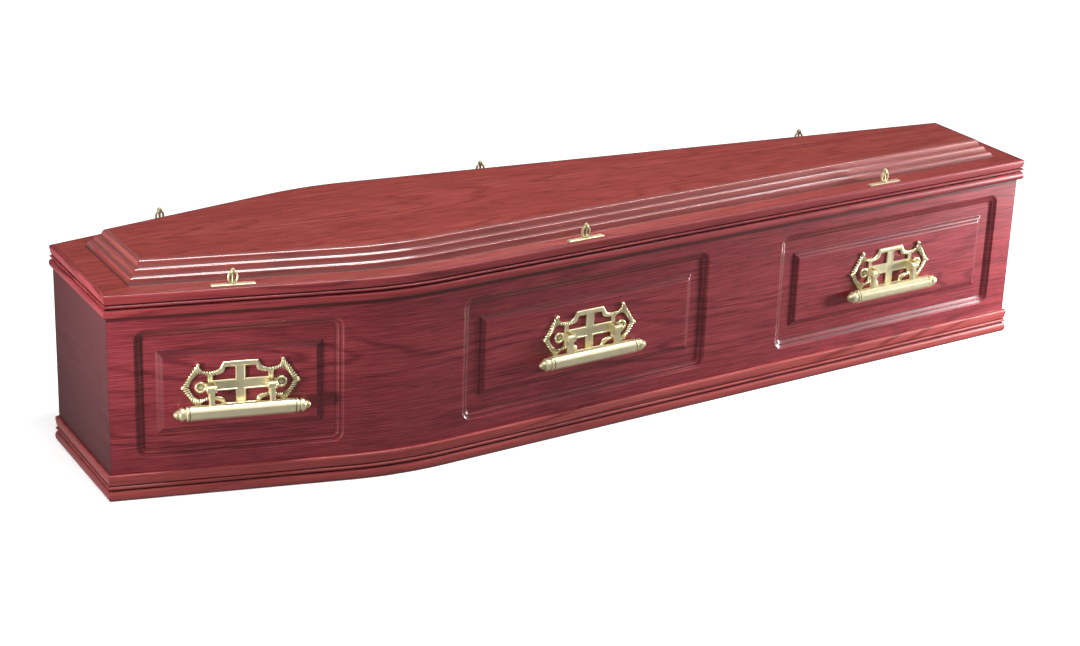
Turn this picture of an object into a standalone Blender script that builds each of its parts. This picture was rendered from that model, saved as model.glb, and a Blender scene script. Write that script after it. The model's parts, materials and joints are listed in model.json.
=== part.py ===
# Wooden coffin: kerf-bent sides with routed panels, moulded lid with a raised top, brass bar handles.
# Metres, +Z up. X runs from the head (minus) to the foot (plus), and the origin is on the floor
# under the middle of the whole coffin. A run along a side is measured on the board's outer face.
import bpy
import bmesh
from math import atan2, cos, pi, sin, tan
from mathutils import Matrix, Vector

# Clearance between pieces that touch.
FIT = 0.0003

# Plan of the lid, over its edge moulding.
LID_LENGTH = 1.930
HEAD_WIDTH = 0.282
SHOULDER_WIDTH = 0.496
FOOT_WIDTH = 0.262
SHOULDER_FROM_HEAD = 0.486
BEND_RADIUS = 0.600
BEND_STEPS = 5

# Case.
CASE_HEIGHT = 0.325
SIDE_THICKNESS = 0.018
END_THICKNESS = 0.018
BASE_THICKNESS = 0.015
LID_OVERHANG = 0.0055
LID_OVERHANG_FOOT = 0.014

# Edge moulding, the same section round the lid and round the base.
LID_MOULDING_HEIGHT = 0.041
BASE_MOULDING_HEIGHT = 0.047
BASE_MOULDING_PROUD = 0.007
EDGE_RELIEF = 0.0052
# Its points from the top edge down, as shares of the relief set back and of the height.
EDGE_PROFILE = (
    (0.81, 0.000),  # back of the rounded nose
    (0.23, 0.073),
    (0.42, 0.380),  # foot of the sloping face
    (0.85, 0.415),  # recess
    (0.29, 0.470),  # bead
    (0.29, 0.531),
    (1.00, 0.565),  # quirk
    (1.00, 0.605),
    (0.46, 0.615),  # rounded band
    (0.00, 0.725),
    (0.00, 0.845),
    (0.46, 1.000),
)

# Lid.
LID_BOARD_THICKNESS = 0.018
LID_REBATE = 0.009
RIM_SIDE = 0.044
RIM_HEAD = 0.055
RIM_FOOT = 0.051
RAISE_HEIGHT = 0.034
RAISE_SLOPE_WIDTH = 0.032
RAISE_TIERS = 3
TIER_TREAD = 0.0052
TIER_NOSE = 0.0018
TIER_NOSE_STEPS = 2
RAISE_TOP_LAND = 0.0015
RAISE_SEAT_WIDTH = 0.011
TOP_PANEL_THICKNESS = 0.012

# Routed panels. The first lies on the run from the head, the others on the run from the foot.
PANEL_BOTTOM = 0.072
PANEL_TOP = 0.302
HEAD_PANEL_MARGIN = 0.043
HEAD_PANEL_LENGTH = 0.352
FOOT_PANEL_MARGIN = 0.049
FOOT_PANEL_LENGTH = 0.556
MIDDLE_PANEL_GAP = 0.171
MIDDLE_PANEL_LENGTH = 0.532
PANEL_CORNER_RADIUS = 0.014
PANEL_CORNER_STEPS = 2
PANEL_BORDER_SIDE = 0.036
PANEL_BORDER_TOP = 0.041
PANEL_OUTER_STEP = 0.013
PANEL_INNER_STEP = 0.009
PANEL_DEPTH = 0.0045
FIELD_DEPTH = 0.0010
# Both steps are double: shares of a step's width and of its fall, with a small flat half way.
STEP_PROFILE = ((0.0, 0.13), (0.42, 0.49), (0.56, 0.56), (1.0, 1.0))
SHARP_RADIUS = 0.0004
CUTTER_OVERSHOOT = 0.002

# Handle back plate, pierced, with a plain cross between two lugs.
HANDLE_HEIGHT = 0.1945
PLATE_THICKNESS = 0.003
PLATE_HALF_LENGTH = 0.1000
PLATE_HALF_HEIGHT = 0.0415
CROSS_POST = 0.0168
CROSS_ARM = 0.0195
# Upper right quarter of its outline and of its inner edge, as shares of the half length and height.
PLATE_OUTLINE = (
    (0.290, 1.000),  # end of the crest
    (0.365, 0.700),
    (0.505, 0.632),  # dip over the lugs
    (0.645, 0.700),
    (0.715, 1.030),  # spike
    (0.870, 0.470),
    (1.000, 0.000),  # end point
)
PLATE_INNER_EDGE = (
    (0.255, 0.795),
    (0.305, 0.540),
    (0.505, 0.435),
    (0.620, 0.520),
    (0.715, 0.535),
    (0.805, 0.350),
    (0.880, 0.000),
)

# Lugs, pivots and bosses of the back plate.
ARM_OUT = 0.051
ARM_WIDTH = 0.0098
EAR_THICKNESS = 0.0030
EAR_RADIUS = 0.0068
EAR_STEPS = 2
PIVOT_OUT = 0.0165
PIN_RADIUS = 0.0024
PIN_HOLE_RADIUS = 0.0030
BOSS_OVERLAP = 0.0015
BOSS_RADIUS = 0.0100
BOSS_HEIGHT = 0.0070
BOSS_CUP_RADIUS = 0.0062
BOSS_CUP_DEPTH = 0.0020

# Swing bar: an eight-sided bar with collared points, on two arms.
BAR_DROP = 0.041
BAR_LENGTH = 0.232
BAR_DEPTH = 0.0225
BAR_HEIGHT = 0.0240
BAR_CHAMFER = 0.0066
POINT_LENGTH = 0.022
POINT_TIP = 0.0022
POINT_SWELL = (0.50, 0.76)
COLLAR_GROOVE = 0.0015
COLLAR_LENGTH = 0.0030
EYE_RADIUS = 0.0063
ARM_DEPTH = 0.0095
ARM_CHAMFER = 0.0016

# Wreath holders: a thumb screw through a bar plate, three along each side of the lid.
HOLDER_FROM_HEAD = (0.213, 0.867, 1.566)
HOLDER_INSET = 0.0165
HOLDER_PLATE_LENGTH = 0.074
HOLDER_PLATE_WIDTH = 0.011
HOLDER_PLATE_THICKNESS = 0.0025
HOLDER_PLATE_CHAMFER = 0.0010
SHANK_RADIUS = 0.0020
SHANK_HOLE_RADIUS = 0.0026
SHANK_IN_CASE = 0.020
THUMB_HEIGHT = 0.0300
THUMB_COLLAR_RADIUS = 0.0056
THUMB_COLLAR_HEIGHT = 0.0035
THUMB_COLLAR_TAPER = 0.8
THUMB_STEM_RADIUS = 0.0024
THUMB_CAP_RADIUS = 0.0046
THUMB_CAP_HEIGHT = 0.0095
THUMB_DOME_HEIGHT = 0.0050
THUMB_DOME_STEPS = 2
THUMB_WING_OUT = 0.0102
THUMB_WING_HEIGHT = 0.0160
THUMB_WING_SHOULDER = 0.8
THUMB_WING_BAND = 0.0027
THUMB_WING_THICKNESS = 0.0030

# Sides of small and of wider round parts.
ROUND_SIDES = 6
WIDE_SIDES = 8

# Colours of the finish, as red, green and blue, with roughness and metallic value.
MAHOGANY = ((0.30, 0.055, 0.050), 0.35, 0.0)
DARK_MAHOGANY = ((0.22, 0.050, 0.050), 0.45, 0.0)
BARE_BOARD = ((0.45, 0.30, 0.18), 0.75, 0.0)
BRASS = ((0.72, 0.62, 0.40), 0.28, 1.0)

# Heights and ends that follow from the sizes above.
LID_BOTTOM = CASE_HEIGHT + FIT
LID_TOP = LID_BOTTOM + LID_MOULDING_HEIGHT
BASE_SIDE_INSET = LID_OVERHANG - BASE_MOULDING_PROUD
HEAD_REACH = max(0.0, -BASE_SIDE_INSET)
FOOT_REACH = max(0.0, BASE_MOULDING_PROUD - LID_OVERHANG_FOOT)
LID_HEAD_X = -(LID_LENGTH + FOOT_REACH - HEAD_REACH) / 2
LID_FOOT_X = LID_HEAD_X + LID_LENGTH
CASE_HEAD_X = LID_HEAD_X + LID_OVERHANG
CASE_FOOT_X = LID_FOOT_X - LID_OVERHANG_FOOT
EAR_INNER = ARM_OUT - ARM_WIDTH / 2 - FIT - EAR_THICKNESS
EAR_OUTER = ARM_OUT + ARM_WIDTH / 2 + FIT
BOSS_OUT = EAR_OUTER + EAR_THICKNESS + BOSS_RADIUS - BOSS_OVERLAP


def clear_scene():
    for old in list(bpy.data.objects):
        bpy.data.objects.remove(old)


def finish(obj, look):
    """Give a piece its own material."""
    colour, roughness, metallic = look
    material = bpy.data.materials.new(obj.name + "_finish")
    material.use_nodes = True
    shader = material.node_tree.nodes["Principled BSDF"]
    shader.inputs["Base Color"].default_value = (*colour, 1.0)
    shader.inputs["Roughness"].default_value = roughness
    shader.inputs["Metallic"].default_value = metallic
    obj.data.materials.clear()
    obj.data.materials.append(material)
    return obj


def solid(name, vertices, faces):
    """One closed body from its vertices and faces, with the faces turned outwards."""
    mesh = bpy.data.meshes.new(name)
    mesh.from_pydata([tuple(v) for v in vertices], [], faces)
    work = bmesh.new()
    work.from_mesh(mesh)
    bmesh.ops.recalc_face_normals(work, faces=work.faces)
    work.to_mesh(mesh)
    work.free()
    mesh.shade_smooth()
    mesh.set_sharp_from_angle(angle=pi / 6)
    obj = bpy.data.objects.new(name, mesh)
    bpy.context.scene.collection.objects.link(obj)
    return obj


def loft(name, rings):
    """Skin rings of equal length, one after another, and close both ends."""
    count = len(rings[0])
    vertices = [point for ring in rings for point in ring]
    faces = [list(range(count)), list(range(len(vertices) - count, len(vertices)))]
    for row in range(len(rings) - 1):
        for i in range(count):
            j = (i + 1) % count
            faces.append([row * count + i, row * count + j, (row + 1) * count + j, (row + 1) * count + i])
    return solid(name, vertices, faces)


def combine(target, tools, operation):
    """Cut the tools out of a piece, or join them to it."""
    for tool in tools:
        modifier = target.modifiers.new("combine", "BOOLEAN")
        modifier.operation = operation
        modifier.object = tool
        bpy.context.view_layer.update()
        graph = bpy.context.evaluated_depsgraph_get()
        mesh = bpy.data.meshes.new_from_object(target.evaluated_get(graph))
        target.modifiers.clear()
        target.data = mesh
        bpy.data.objects.remove(tool)
    target.data.shade_smooth()
    target.data.set_sharp_from_angle(angle=pi / 6)
    return target


def tidy(obj):
    """Dissolve the needless edges that joining leaves on flat faces."""
    work = bmesh.new()
    work.from_mesh(obj.data)
    bmesh.ops.remove_doubles(work, verts=work.verts, dist=1e-6)
    bmesh.ops.dissolve_limit(work, angle_limit=0.002, verts=work.verts, edges=work.edges)
    bmesh.ops.triangulate(work, faces=work.faces)
    work.to_mesh(obj.data)
    work.free()
    return obj


# Plan outline of the coffin.

def side_lines(inset):
    """The head run and the foot run of one side, moved in: a point on each and its direction."""
    head = Vector((LID_HEAD_X, HEAD_WIDTH / 2))
    shoulder = Vector((LID_HEAD_X + SHOULDER_FROM_HEAD, SHOULDER_WIDTH / 2))
    foot = Vector((LID_FOOT_X, FOOT_WIDTH / 2))
    lines = []
    for start, end in ((head, shoulder), (shoulder, foot)):
        along = (end - start).normalized()
        outward = Vector((-along.y, along.x))
        lines.append((start - outward * inset, along, outward))
    return lines


def line_at_x(line, x):
    point, along, _ = line
    return point + along * ((x - point.x) / along.x)


def side_path(inset, head_x, foot_x):
    """One side from head to foot, moved in by inset, with the shoulder bend as an arc."""
    first, second = side_lines(inset)
    cross = first[1].cross(second[1])
    corner = first[0] + first[1] * ((second[0] - first[0]).cross(second[1]) / cross)
    turn = first[1].angle(second[1])
    reach = (BEND_RADIUS - inset) * tan(turn / 2)
    centre = corner - first[1] * reach - first[2] * (BEND_RADIUS - inset)
    start = atan2(first[2].y, first[2].x)
    path = [line_at_x(first, head_x)]
    for step in range(BEND_STEPS + 1):
        angle = start - turn * step / BEND_STEPS
        path.append(centre + Vector((cos(angle), sin(angle))) * (BEND_RADIUS - inset))
    path.append(line_at_x(second, foot_x))
    return path


def ring_plan(inset, head_x, foot_x):
    """The whole outline, moved in by inset, as one closed loop."""
    far = side_path(inset, head_x, foot_x)
    near = [Vector((p.x, -p.y)) for p in reversed(far)]
    return far + near


def board(name, inset, head_x, foot_x, bottom, top):
    """A flat board with the coffin's plan."""
    plan = ring_plan(inset, head_x, foot_x)
    return loft(name, [[(p.x, p.y, z) for p in plan] for z in (bottom, top)])


def frame_strips(prefix, section, side_inset, head_x, foot_x):
    """Four mitred strips round the coffin. A section is a closed list of setback and height."""
    made = {}
    for side, sign in (("far", 1), ("near", -1)):
        rings = []
        for setback, height in section:
            path = side_path(side_inset + setback, head_x + setback + FIT, foot_x - setback - FIT)
            rings.append([(p.x, p.y * sign, height) for p in path])
        made[side] = loft(f"{prefix}_{side}", [list(stop) for stop in zip(*rings)])
    for end in ("head", "foot"):
        rings = []
        for sign in (1, -1):
            ring = []
            for setback, height in section:
                at = head_x + setback if end == "head" else foot_x - setback
                lines = side_lines(side_inset + setback)
                point = line_at_x(lines[0] if end == "head" else lines[1], at)
                ring.append((at, point.y * sign, height))
            rings.append(ring)
        made[end] = loft(f"{prefix}_{end}", rings)
    return made


# Sections of the mouldings and boards.

def edge_moulding_face(top, height):
    """Nose, sloping face, recess, bead, quirk and band, from the top edge down."""
    return [(setback * EDGE_RELIEF, top - drop * height) for setback, drop in EDGE_PROFILE]


def raise_face(bottom):
    """Stepped slope of the raised lid, from its foot up: each tier is a riser, a round nose and a tread."""
    tier_width = RAISE_SLOPE_WIDTH / RAISE_TIERS
    tier_height = (RAISE_HEIGHT - FIT) / RAISE_TIERS
    face = []
    for tier in range(RAISE_TIERS):
        high = bottom + (tier + 1) * tier_height
        nose = (tier + 1) * tier_width - TIER_TREAD
        face.append((tier * tier_width, high - tier_height))
        for step in range(TIER_NOSE_STEPS + 1):
            angle = pi / 2 * step / TIER_NOSE_STEPS
            face.append((nose - TIER_NOSE * cos(angle), high - TIER_NOSE * (1 - sin(angle))))
    return face


# Wooden pieces.

def make_case():
    """Base board, two bent sides, head and foot boards, all mitred at the corners."""
    side_section = [(0.0, 0.0), (SIDE_THICKNESS, 0.0), (SIDE_THICKNESS, CASE_HEIGHT), (0.0, CASE_HEIGHT)]
    walls = frame_strips("side_board", side_section, LID_OVERHANG, CASE_HEAD_X, CASE_FOOT_X)
    for end in ("head", "foot"):
        walls[end].name = f"{end}_board"
        finish(walls[end], DARK_MAHOGANY)
    for side in ("far", "near"):
        finish(walls[side], MAHOGANY)
    inner = LID_OVERHANG + SIDE_THICKNESS + FIT
    base = board("base_board", inner, CASE_HEAD_X + END_THICKNESS + FIT,
                 CASE_FOOT_X - END_THICKNESS - FIT, 0.0, BASE_THICKNESS)
    finish(base, BARE_BOARD)
    return walls


def make_base_moulding():
    face = edge_moulding_face(BASE_MOULDING_HEIGHT, BASE_MOULDING_HEIGHT)
    back = BASE_MOULDING_PROUD - FIT
    section = face + [(back, 0.0), (back, BASE_MOULDING_HEIGHT)]
    strips = frame_strips("base_moulding", section, BASE_SIDE_INSET,
                          CASE_HEAD_X - BASE_MOULDING_PROUD, CASE_FOOT_X + BASE_MOULDING_PROUD)
    for strip in strips.values():
        finish(strip, MAHOGANY)


def make_lid():
    """Lid board in the rebate of its edge moulding, with the raised top on it."""
    face = edge_moulding_face(LID_TOP, LID_MOULDING_HEIGHT)
    board_bottom = LID_TOP - LID_BOARD_THICKNESS
    inner = LID_OVERHANG + SIDE_THICKNESS
    section = face + [(inner, LID_BOTTOM), (inner, board_bottom - FIT),
                      (LID_REBATE, board_bottom - FIT), (LID_REBATE, LID_TOP)]
    strips = frame_strips("lid_moulding", section, 0.0, LID_HEAD_X, LID_FOOT_X)
    for strip in strips.values():
        finish(strip, MAHOGANY)
    gap = LID_REBATE + FIT
    lid = board("lid_board", gap, LID_HEAD_X + gap, LID_FOOT_X - gap, board_bottom, LID_TOP)
    finish(lid, MAHOGANY)

    foot_of_raise = LID_TOP + FIT
    top = LID_TOP + RAISE_HEIGHT
    land = RAISE_SLOPE_WIDTH + RAISE_TOP_LAND
    seat = top - TOP_PANEL_THICKNESS - FIT
    back = land + RAISE_SEAT_WIDTH
    section = raise_face(foot_of_raise)
    section += [(land, top), (land, seat), (back, seat), (back, foot_of_raise)]
    raised = frame_strips("raised_moulding", section, RIM_SIDE, LID_HEAD_X + RIM_HEAD, LID_FOOT_X - RIM_FOOT)
    for strip in raised.values():
        finish(strip, MAHOGANY)
    gap = land + FIT
    panel = board("raised_panel", RIM_SIDE + gap, LID_HEAD_X + RIM_HEAD + gap,
                  LID_FOOT_X - RIM_FOOT - gap, top - TOP_PANEL_THICKNESS, top)
    finish(panel, MAHOGANY)
    return strips, lid


# Places on the sides. A place is its middle on the outer face and the way along the face.

def run_place(run, distance, sign):
    """A point on a straight run, at floor level, and the turn about Z of something facing out there."""
    lines = side_lines(LID_OVERHANG)
    if run == "head":
        line = lines[0]
        point = line_at_x(line, CASE_HEAD_X) + line[1] * distance
    else:
        line = lines[1]
        point = line_at_x(line, CASE_FOOT_X) - line[1] * distance
    outward = Vector((line[2].x, line[2].y * sign, 0.0))
    place = Vector((point.x, point.y * sign, 0.0))
    return place, outward, atan2(outward.x, -outward.y)


def panel_places():
    """Run, middle and length of each routed panel."""
    foot_middle = FOOT_PANEL_MARGIN + FOOT_PANEL_LENGTH / 2
    middle = FOOT_PANEL_MARGIN + FOOT_PANEL_LENGTH + MIDDLE_PANEL_GAP + MIDDLE_PANEL_LENGTH / 2
    return [
        ("head", "head", HEAD_PANEL_MARGIN + HEAD_PANEL_LENGTH / 2, HEAD_PANEL_LENGTH),
        ("middle", "foot", middle, MIDDLE_PANEL_LENGTH),
        ("foot", "foot", foot_middle, FOOT_PANEL_LENGTH),
    ]


def rounded_rectangle(half_length, half_height, radius):
    points = []
    for corner, (across, up) in enumerate(((1, 1), (-1, 1), (-1, -1), (1, -1))):
        for step in range(PANEL_CORNER_STEPS + 1):
            angle = pi / 2 * (corner + step / PANEL_CORNER_STEPS)
            points.append(((half_length - radius) * across + radius * cos(angle),
                           (half_height - radius) * up + radius * sin(angle)))
    return points


def panel_cutter(length):
    """What the router takes out: a double step down to a flat border and one up to the field."""
    half_length, half_height = length / 2, (PANEL_TOP - PANEL_BOTTOM) / 2
    rings = [[(x, -CUTTER_OVERSHOOT, z)
              for x, z in rounded_rectangle(half_length, half_height, PANEL_CORNER_RADIUS)]]
    for width, fall in STEP_PROFILE:
        inset = PANEL_OUTER_STEP * width
        radius = max(PANEL_CORNER_RADIUS - inset, SHARP_RADIUS)
        shape = rounded_rectangle(half_length - inset, half_height - inset, radius)
        rings.append([(x, PANEL_DEPTH * fall, z) for x, z in shape])
    for width, fall in STEP_PROFILE:
        rise = (PANEL_DEPTH - FIELD_DEPTH) * (fall - STEP_PROFILE[0][1]) / (1 - STEP_PROFILE[0][1])
        shape = rounded_rectangle(half_length - PANEL_BORDER_SIDE - PANEL_INNER_STEP * width,
                                  half_height - PANEL_BORDER_TOP - PANEL_INNER_STEP * width, SHARP_RADIUS)
        rings.append([(x, PANEL_DEPTH - rise, z) for x, z in shape])
    return loft("panel_cutter", rings)


def rout_panels(walls):
    for side, sign in (("far", 1), ("near", -1)):
        for _, run, middle, length in panel_places():
            cutter = panel_cutter(length)
            place, _, turn = run_place(run, middle, sign)
            cutter.location = place + Vector((0.0, 0.0, (PANEL_TOP + PANEL_BOTTOM) / 2))
            cutter.rotation_euler = (0.0, 0.0, turn)
            combine(walls[side], [cutter], "DIFFERENCE")


# Brass furniture. Each mesh is made facing -Y, with X along the side and Z up.

def front_prism(name, outline, out_from, out_to):
    """A flat shape given by x and z, between two distances out from the side."""
    return loft(name, [[(x, -out, z) for x, z in outline] for out in (out_from, out_to)])


def cylinder(name, axis, centre, radius, start, end, sides=ROUND_SIDES):
    """A round bar along x, y or z between two coordinates."""
    rings = []
    for stop in (start, end):
        ring = []
        for i in range(sides):
            angle = 2 * pi * (i + 0.5) / sides
            a, b = radius * cos(angle), radius * sin(angle)
            if axis == "x":
                ring.append((stop, centre[0] + a, centre[1] + b))
            elif axis == "y":
                ring.append((centre[0] + a, stop, centre[1] + b))
            else:
                ring.append((centre[0] + a, centre[1] + b, stop))
        rings.append(ring)
    return loft(name, rings)


def plate_points(shares):
    return [(x * PLATE_HALF_LENGTH, z * PLATE_HALF_HEIGHT) for x, z in shares]


def mirrored_outline(quarter):
    """A closed outline from its upper right quarter, which ends on the X axis."""
    right = quarter + [(x, -z) for x, z in reversed(quarter[:-1])]
    return right + [(-x, z) for x, z in reversed(right)]


def make_back_plate():
    plate = front_prism("back_plate", mirrored_outline(plate_points(PLATE_OUTLINE)), 0.0, PLATE_THICKNESS)
    crest, bend, dip, *lobe_top = plate_points(PLATE_INNER_EDGE)
    half_post, half_arm = CROSS_POST / 2, CROSS_ARM / 2
    over = PLATE_THICKNESS + CUTTER_OVERSHOOT
    window = [(half_post, half_arm), (half_post, crest[1]), crest, bend, (EAR_INNER, dip[1]),
              (EAR_INNER, half_arm)]
    lobe_start = (EAR_OUTER + EAR_THICKNESS / 2, lobe_top[0][1])
    lobe = [lobe_start] + lobe_top + [(x, -z) for x, z in reversed(lobe_top[:-1])]
    lobe += [(lobe_start[0], -lobe_start[1])]
    cutters = []
    for along in (1, -1):
        for up in (1, -1):
            cutters.append(front_prism("window", [(x * along, z * up) for x, z in window],
                                       -CUTTER_OVERSHOOT, over))
        cutters.append(front_prism("lobe", [(x * along, z) for x, z in lobe], -CUTTER_OVERSHOOT, over))
    combine(plate, cutters, "DIFFERENCE")

    ear = [(0.0, -EAR_RADIUS), (0.0, EAR_RADIUS)]
    for step in range(EAR_STEPS + 1):
        angle = pi / 2 - pi * step / EAR_STEPS
        ear.append((PIVOT_OUT + EAR_RADIUS * cos(angle), EAR_RADIUS * sin(angle)))
    added = []
    for along in (1, -1):
        for start in (EAR_INNER, EAR_OUTER):
            added.append(loft("ear", [[(along * x, -out, z) for out, z in ear]
                                      for x in (start, start + EAR_THICKNESS)]))
        added.append(cylinder("pin", "x", (-PIVOT_OUT, 0.0), PIN_RADIUS,
                              along * (EAR_INNER + EAR_THICKNESS / 2),
                              along * (EAR_OUTER + EAR_THICKNESS / 2)))
        added.append(cylinder("boss", "y", (along * BOSS_OUT, 0.0), BOSS_RADIUS, 0.0, -BOSS_HEIGHT,
                              WIDE_SIDES))
    combine(plate, added, "UNION")
    cups = [cylinder("cup", "y", (along * BOSS_OUT, 0.0), BOSS_CUP_RADIUS,
                     BOSS_CUP_DEPTH - BOSS_HEIGHT, -BOSS_HEIGHT - CUTTER_OVERSHOOT)
            for along in (1, -1)]
    return tidy(combine(plate, cups, "DIFFERENCE"))


def bar_ring(x, scale):
    """The bar's eight-sided section at x, shrunk towards its axis."""
    half_depth, half_height = BAR_DEPTH / 2, BAR_HEIGHT / 2
    corners = [(half_depth - BAR_CHAMFER, half_height), (half_depth, half_height - BAR_CHAMFER)]
    corners += [(a, -b) for a, b in reversed(corners)]
    corners += [(-a, -b) for a, b in corners]
    return [(x, a * scale, b * scale - BAR_DROP) for a, b in corners]


def make_swing_bar():
    """Bar, arms and eyes as one casting, with its origin on the pivot."""
    half = BAR_LENGTH / 2
    shoulder = half - POINT_LENGTH
    groove = (BAR_DEPTH / 2 - COLLAR_GROOVE) / (BAR_DEPTH / 2)
    stations = [
        (shoulder - COLLAR_LENGTH, 1.0),
        (shoulder - COLLAR_LENGTH / 2, groove),
        (shoulder, 1.0),
        (shoulder + POINT_LENGTH * POINT_SWELL[0], POINT_SWELL[1]),
        (half, POINT_TIP / BAR_DEPTH),
    ]
    rings = [bar_ring(-x, scale) for x, scale in reversed(stations)]
    rings += [bar_ring(x, scale) for x, scale in stations]
    bar = loft("swing_bar", rings)
    added = []
    for along in (1, -1):
        start, end = along * ARM_OUT - ARM_WIDTH / 2, along * ARM_OUT + ARM_WIDTH / 2
        section = [(start, ARM_DEPTH / 2), (end, ARM_DEPTH / 2), (end, ARM_CHAMFER - ARM_DEPTH / 2),
                   (end - ARM_CHAMFER, -ARM_DEPTH / 2), (start + ARM_CHAMFER, -ARM_DEPTH / 2),
                   (start, ARM_CHAMFER - ARM_DEPTH / 2)]
        added.append(loft("arm", [[(x, y, z) for x, y in section]
                                  for z in (-(PIN_HOLE_RADIUS + EYE_RADIUS) / 2, -BAR_DROP)]))
        added.append(cylinder("eye", "x", (0.0, 0.0), EYE_RADIUS, start, end, WIDE_SIDES))
    combine(bar, added, "UNION")
    holes = [cylinder("hole", "x", (0.0, 0.0), PIN_HOLE_RADIUS, along * ARM_OUT - ARM_WIDTH,
                      along * ARM_OUT + ARM_WIDTH) for along in (1, -1)]
    combine(bar, holes, "DIFFERENCE")
    return tidy(bar)


def place_copies(mould, name, look, places):
    """Put a copy of one mesh at each place and drop the mould."""
    for label, location, turn in places:
        copy = bpy.data.objects.new(f"{name}_{label}", mould.data.copy())
        copy.location = location
        copy.rotation_euler = (0.0, 0.0, turn)
        bpy.context.scene.collection.objects.link(copy)
        finish(copy, look)
    bpy.data.objects.remove(mould)


def make_handles():
    plates, bars = [], []
    for side, sign in (("near", -1), ("far", 1)):
        for spot, run, middle, _ in panel_places():
            place, outward, turn = run_place(run, middle, sign)
            back = place - outward * (FIELD_DEPTH - FIT) + Vector((0.0, 0.0, HANDLE_HEIGHT))
            plates.append((f"{side}_{spot}", back, turn))
            bars.append((f"{side}_{spot}", back + outward * PIVOT_OUT, turn))
    place_copies(make_back_plate(), "handle_plate", BRASS, plates)
    place_copies(make_swing_bar(), "handle_bar", BRASS, bars)


def make_holder_plate():
    half, width, depth = HOLDER_PLATE_LENGTH / 2, HOLDER_PLATE_WIDTH / 2, HOLDER_PLATE_THICKNESS
    edge = HOLDER_PLATE_CHAMFER
    rings = []
    for shrink, z in ((0.0, 0.0), (0.0, depth - edge), (edge, depth)):
        rings.append([(x * (half - shrink), y * (width - shrink), z)
                      for x, y in ((1, 1), (-1, 1), (-1, -1), (1, -1))])
    plate = loft("holder_plate", rings)
    hole = cylinder("hole", "z", (0.0, 0.0), SHANK_HOLE_RADIUS, -CUTTER_OVERSHOOT,
                    depth + CUTTER_OVERSHOOT)
    return tidy(combine(plate, [hole], "DIFFERENCE"))


def make_thumb_screw():
    """Shank, collar, stem and domed cap turned in one, with two pierced wings."""
    seat = HOLDER_PLATE_THICKNESS + FIT
    depth = LID_MOULDING_HEIGHT + SHANK_IN_CASE
    turned = [
        (SHANK_RADIUS, -depth),
        (SHANK_RADIUS, seat),
        (THUMB_COLLAR_RADIUS, seat),
        (THUMB_COLLAR_RADIUS * THUMB_COLLAR_TAPER, seat + THUMB_COLLAR_HEIGHT),
        (THUMB_STEM_RADIUS, THUMB_HEIGHT - THUMB_CAP_HEIGHT),
    ]
    for step in range(THUMB_DOME_STEPS):
        angle = pi / 2 * step / THUMB_DOME_STEPS
        turned.append((THUMB_CAP_RADIUS * cos(angle), THUMB_HEIGHT - THUMB_DOME_HEIGHT * (1 - sin(angle))))
    rings = []
    for radius, z in turned:
        around = [2 * pi * i / ROUND_SIDES for i in range(ROUND_SIDES)]
        rings.append([(radius * cos(angle), radius * sin(angle), z) for angle in around])
    screw = loft("thumb_screw", rings)
    root = THUMB_STEM_RADIUS / 2
    low = seat + THUMB_COLLAR_HEIGHT - THUMB_WING_BAND / 2
    high = low + THUMB_WING_HEIGHT
    middle = (low + high) / 2
    shoulder = (high - low) / 2 * THUMB_WING_SHOULDER
    outer = [(root, low), (THUMB_WING_OUT * THUMB_WING_SHOULDER, middle - shoulder), (THUMB_WING_OUT, middle),
             (THUMB_WING_OUT * THUMB_WING_SHOULDER, middle + shoulder), (root, high)]
    inner = [(root, high - THUMB_WING_BAND), (THUMB_WING_OUT - THUMB_WING_BAND, middle),
             (root, low + THUMB_WING_BAND)]
    wings = [front_prism("wing", [(x * along, z) for x, z in outer + inner],
                         -THUMB_WING_THICKNESS / 2, THUMB_WING_THICKNESS / 2) for along in (1, -1)]
    return tidy(combine(screw, wings, "UNION"))


def holder_places():
    """Names, places and turns of the six wreath holders."""
    places = []
    for side, sign in (("near", -1), ("far", 1)):
        for spot, from_head in zip(("head", "middle", "foot"), HOLDER_FROM_HEAD):
            line = side_lines(HOLDER_INSET)[0 if from_head < SHOULDER_FROM_HEAD else 1]
            point = line_at_x(line, LID_HEAD_X + from_head)
            outward = Vector((line[2].x, line[2].y * sign))
            turn = atan2(outward.x, -outward.y)
            places.append((f"{side}_{spot}", Vector((point.x, point.y * sign, LID_TOP + FIT)), turn))
    return places


def make_wreath_holders(walls, lid_strips, lid):
    """Thumb screws through their plates and the lid into the sides."""
    places = holder_places()
    for label, location, _ in places:
        side = label.split("_")[0]
        for piece in (walls[side], lid_strips[side], lid):
            hole = cylinder("hole", "z", (location.x, location.y), SHANK_HOLE_RADIUS,
                            CASE_HEIGHT - SHANK_IN_CASE - CUTTER_OVERSHOOT,
                            LID_TOP + CUTTER_OVERSHOOT)
            combine(piece, [hole], "DIFFERENCE")
    place_copies(make_holder_plate(), "wreath_holder_plate", BRASS, places)
    place_copies(make_thumb_screw(), "wreath_holder_screw", BRASS, places)


def main():
    clear_scene()
    walls = make_case()
    rout_panels(walls)
    make_base_moulding()
    lid_strips, lid = make_lid()
    make_handles()
    make_wreath_holders(walls, lid_strips, lid)


main()
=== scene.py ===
import json
import math

import bmesh
import bpy
import numpy as np
from mathutils import Matrix, Vector


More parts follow.
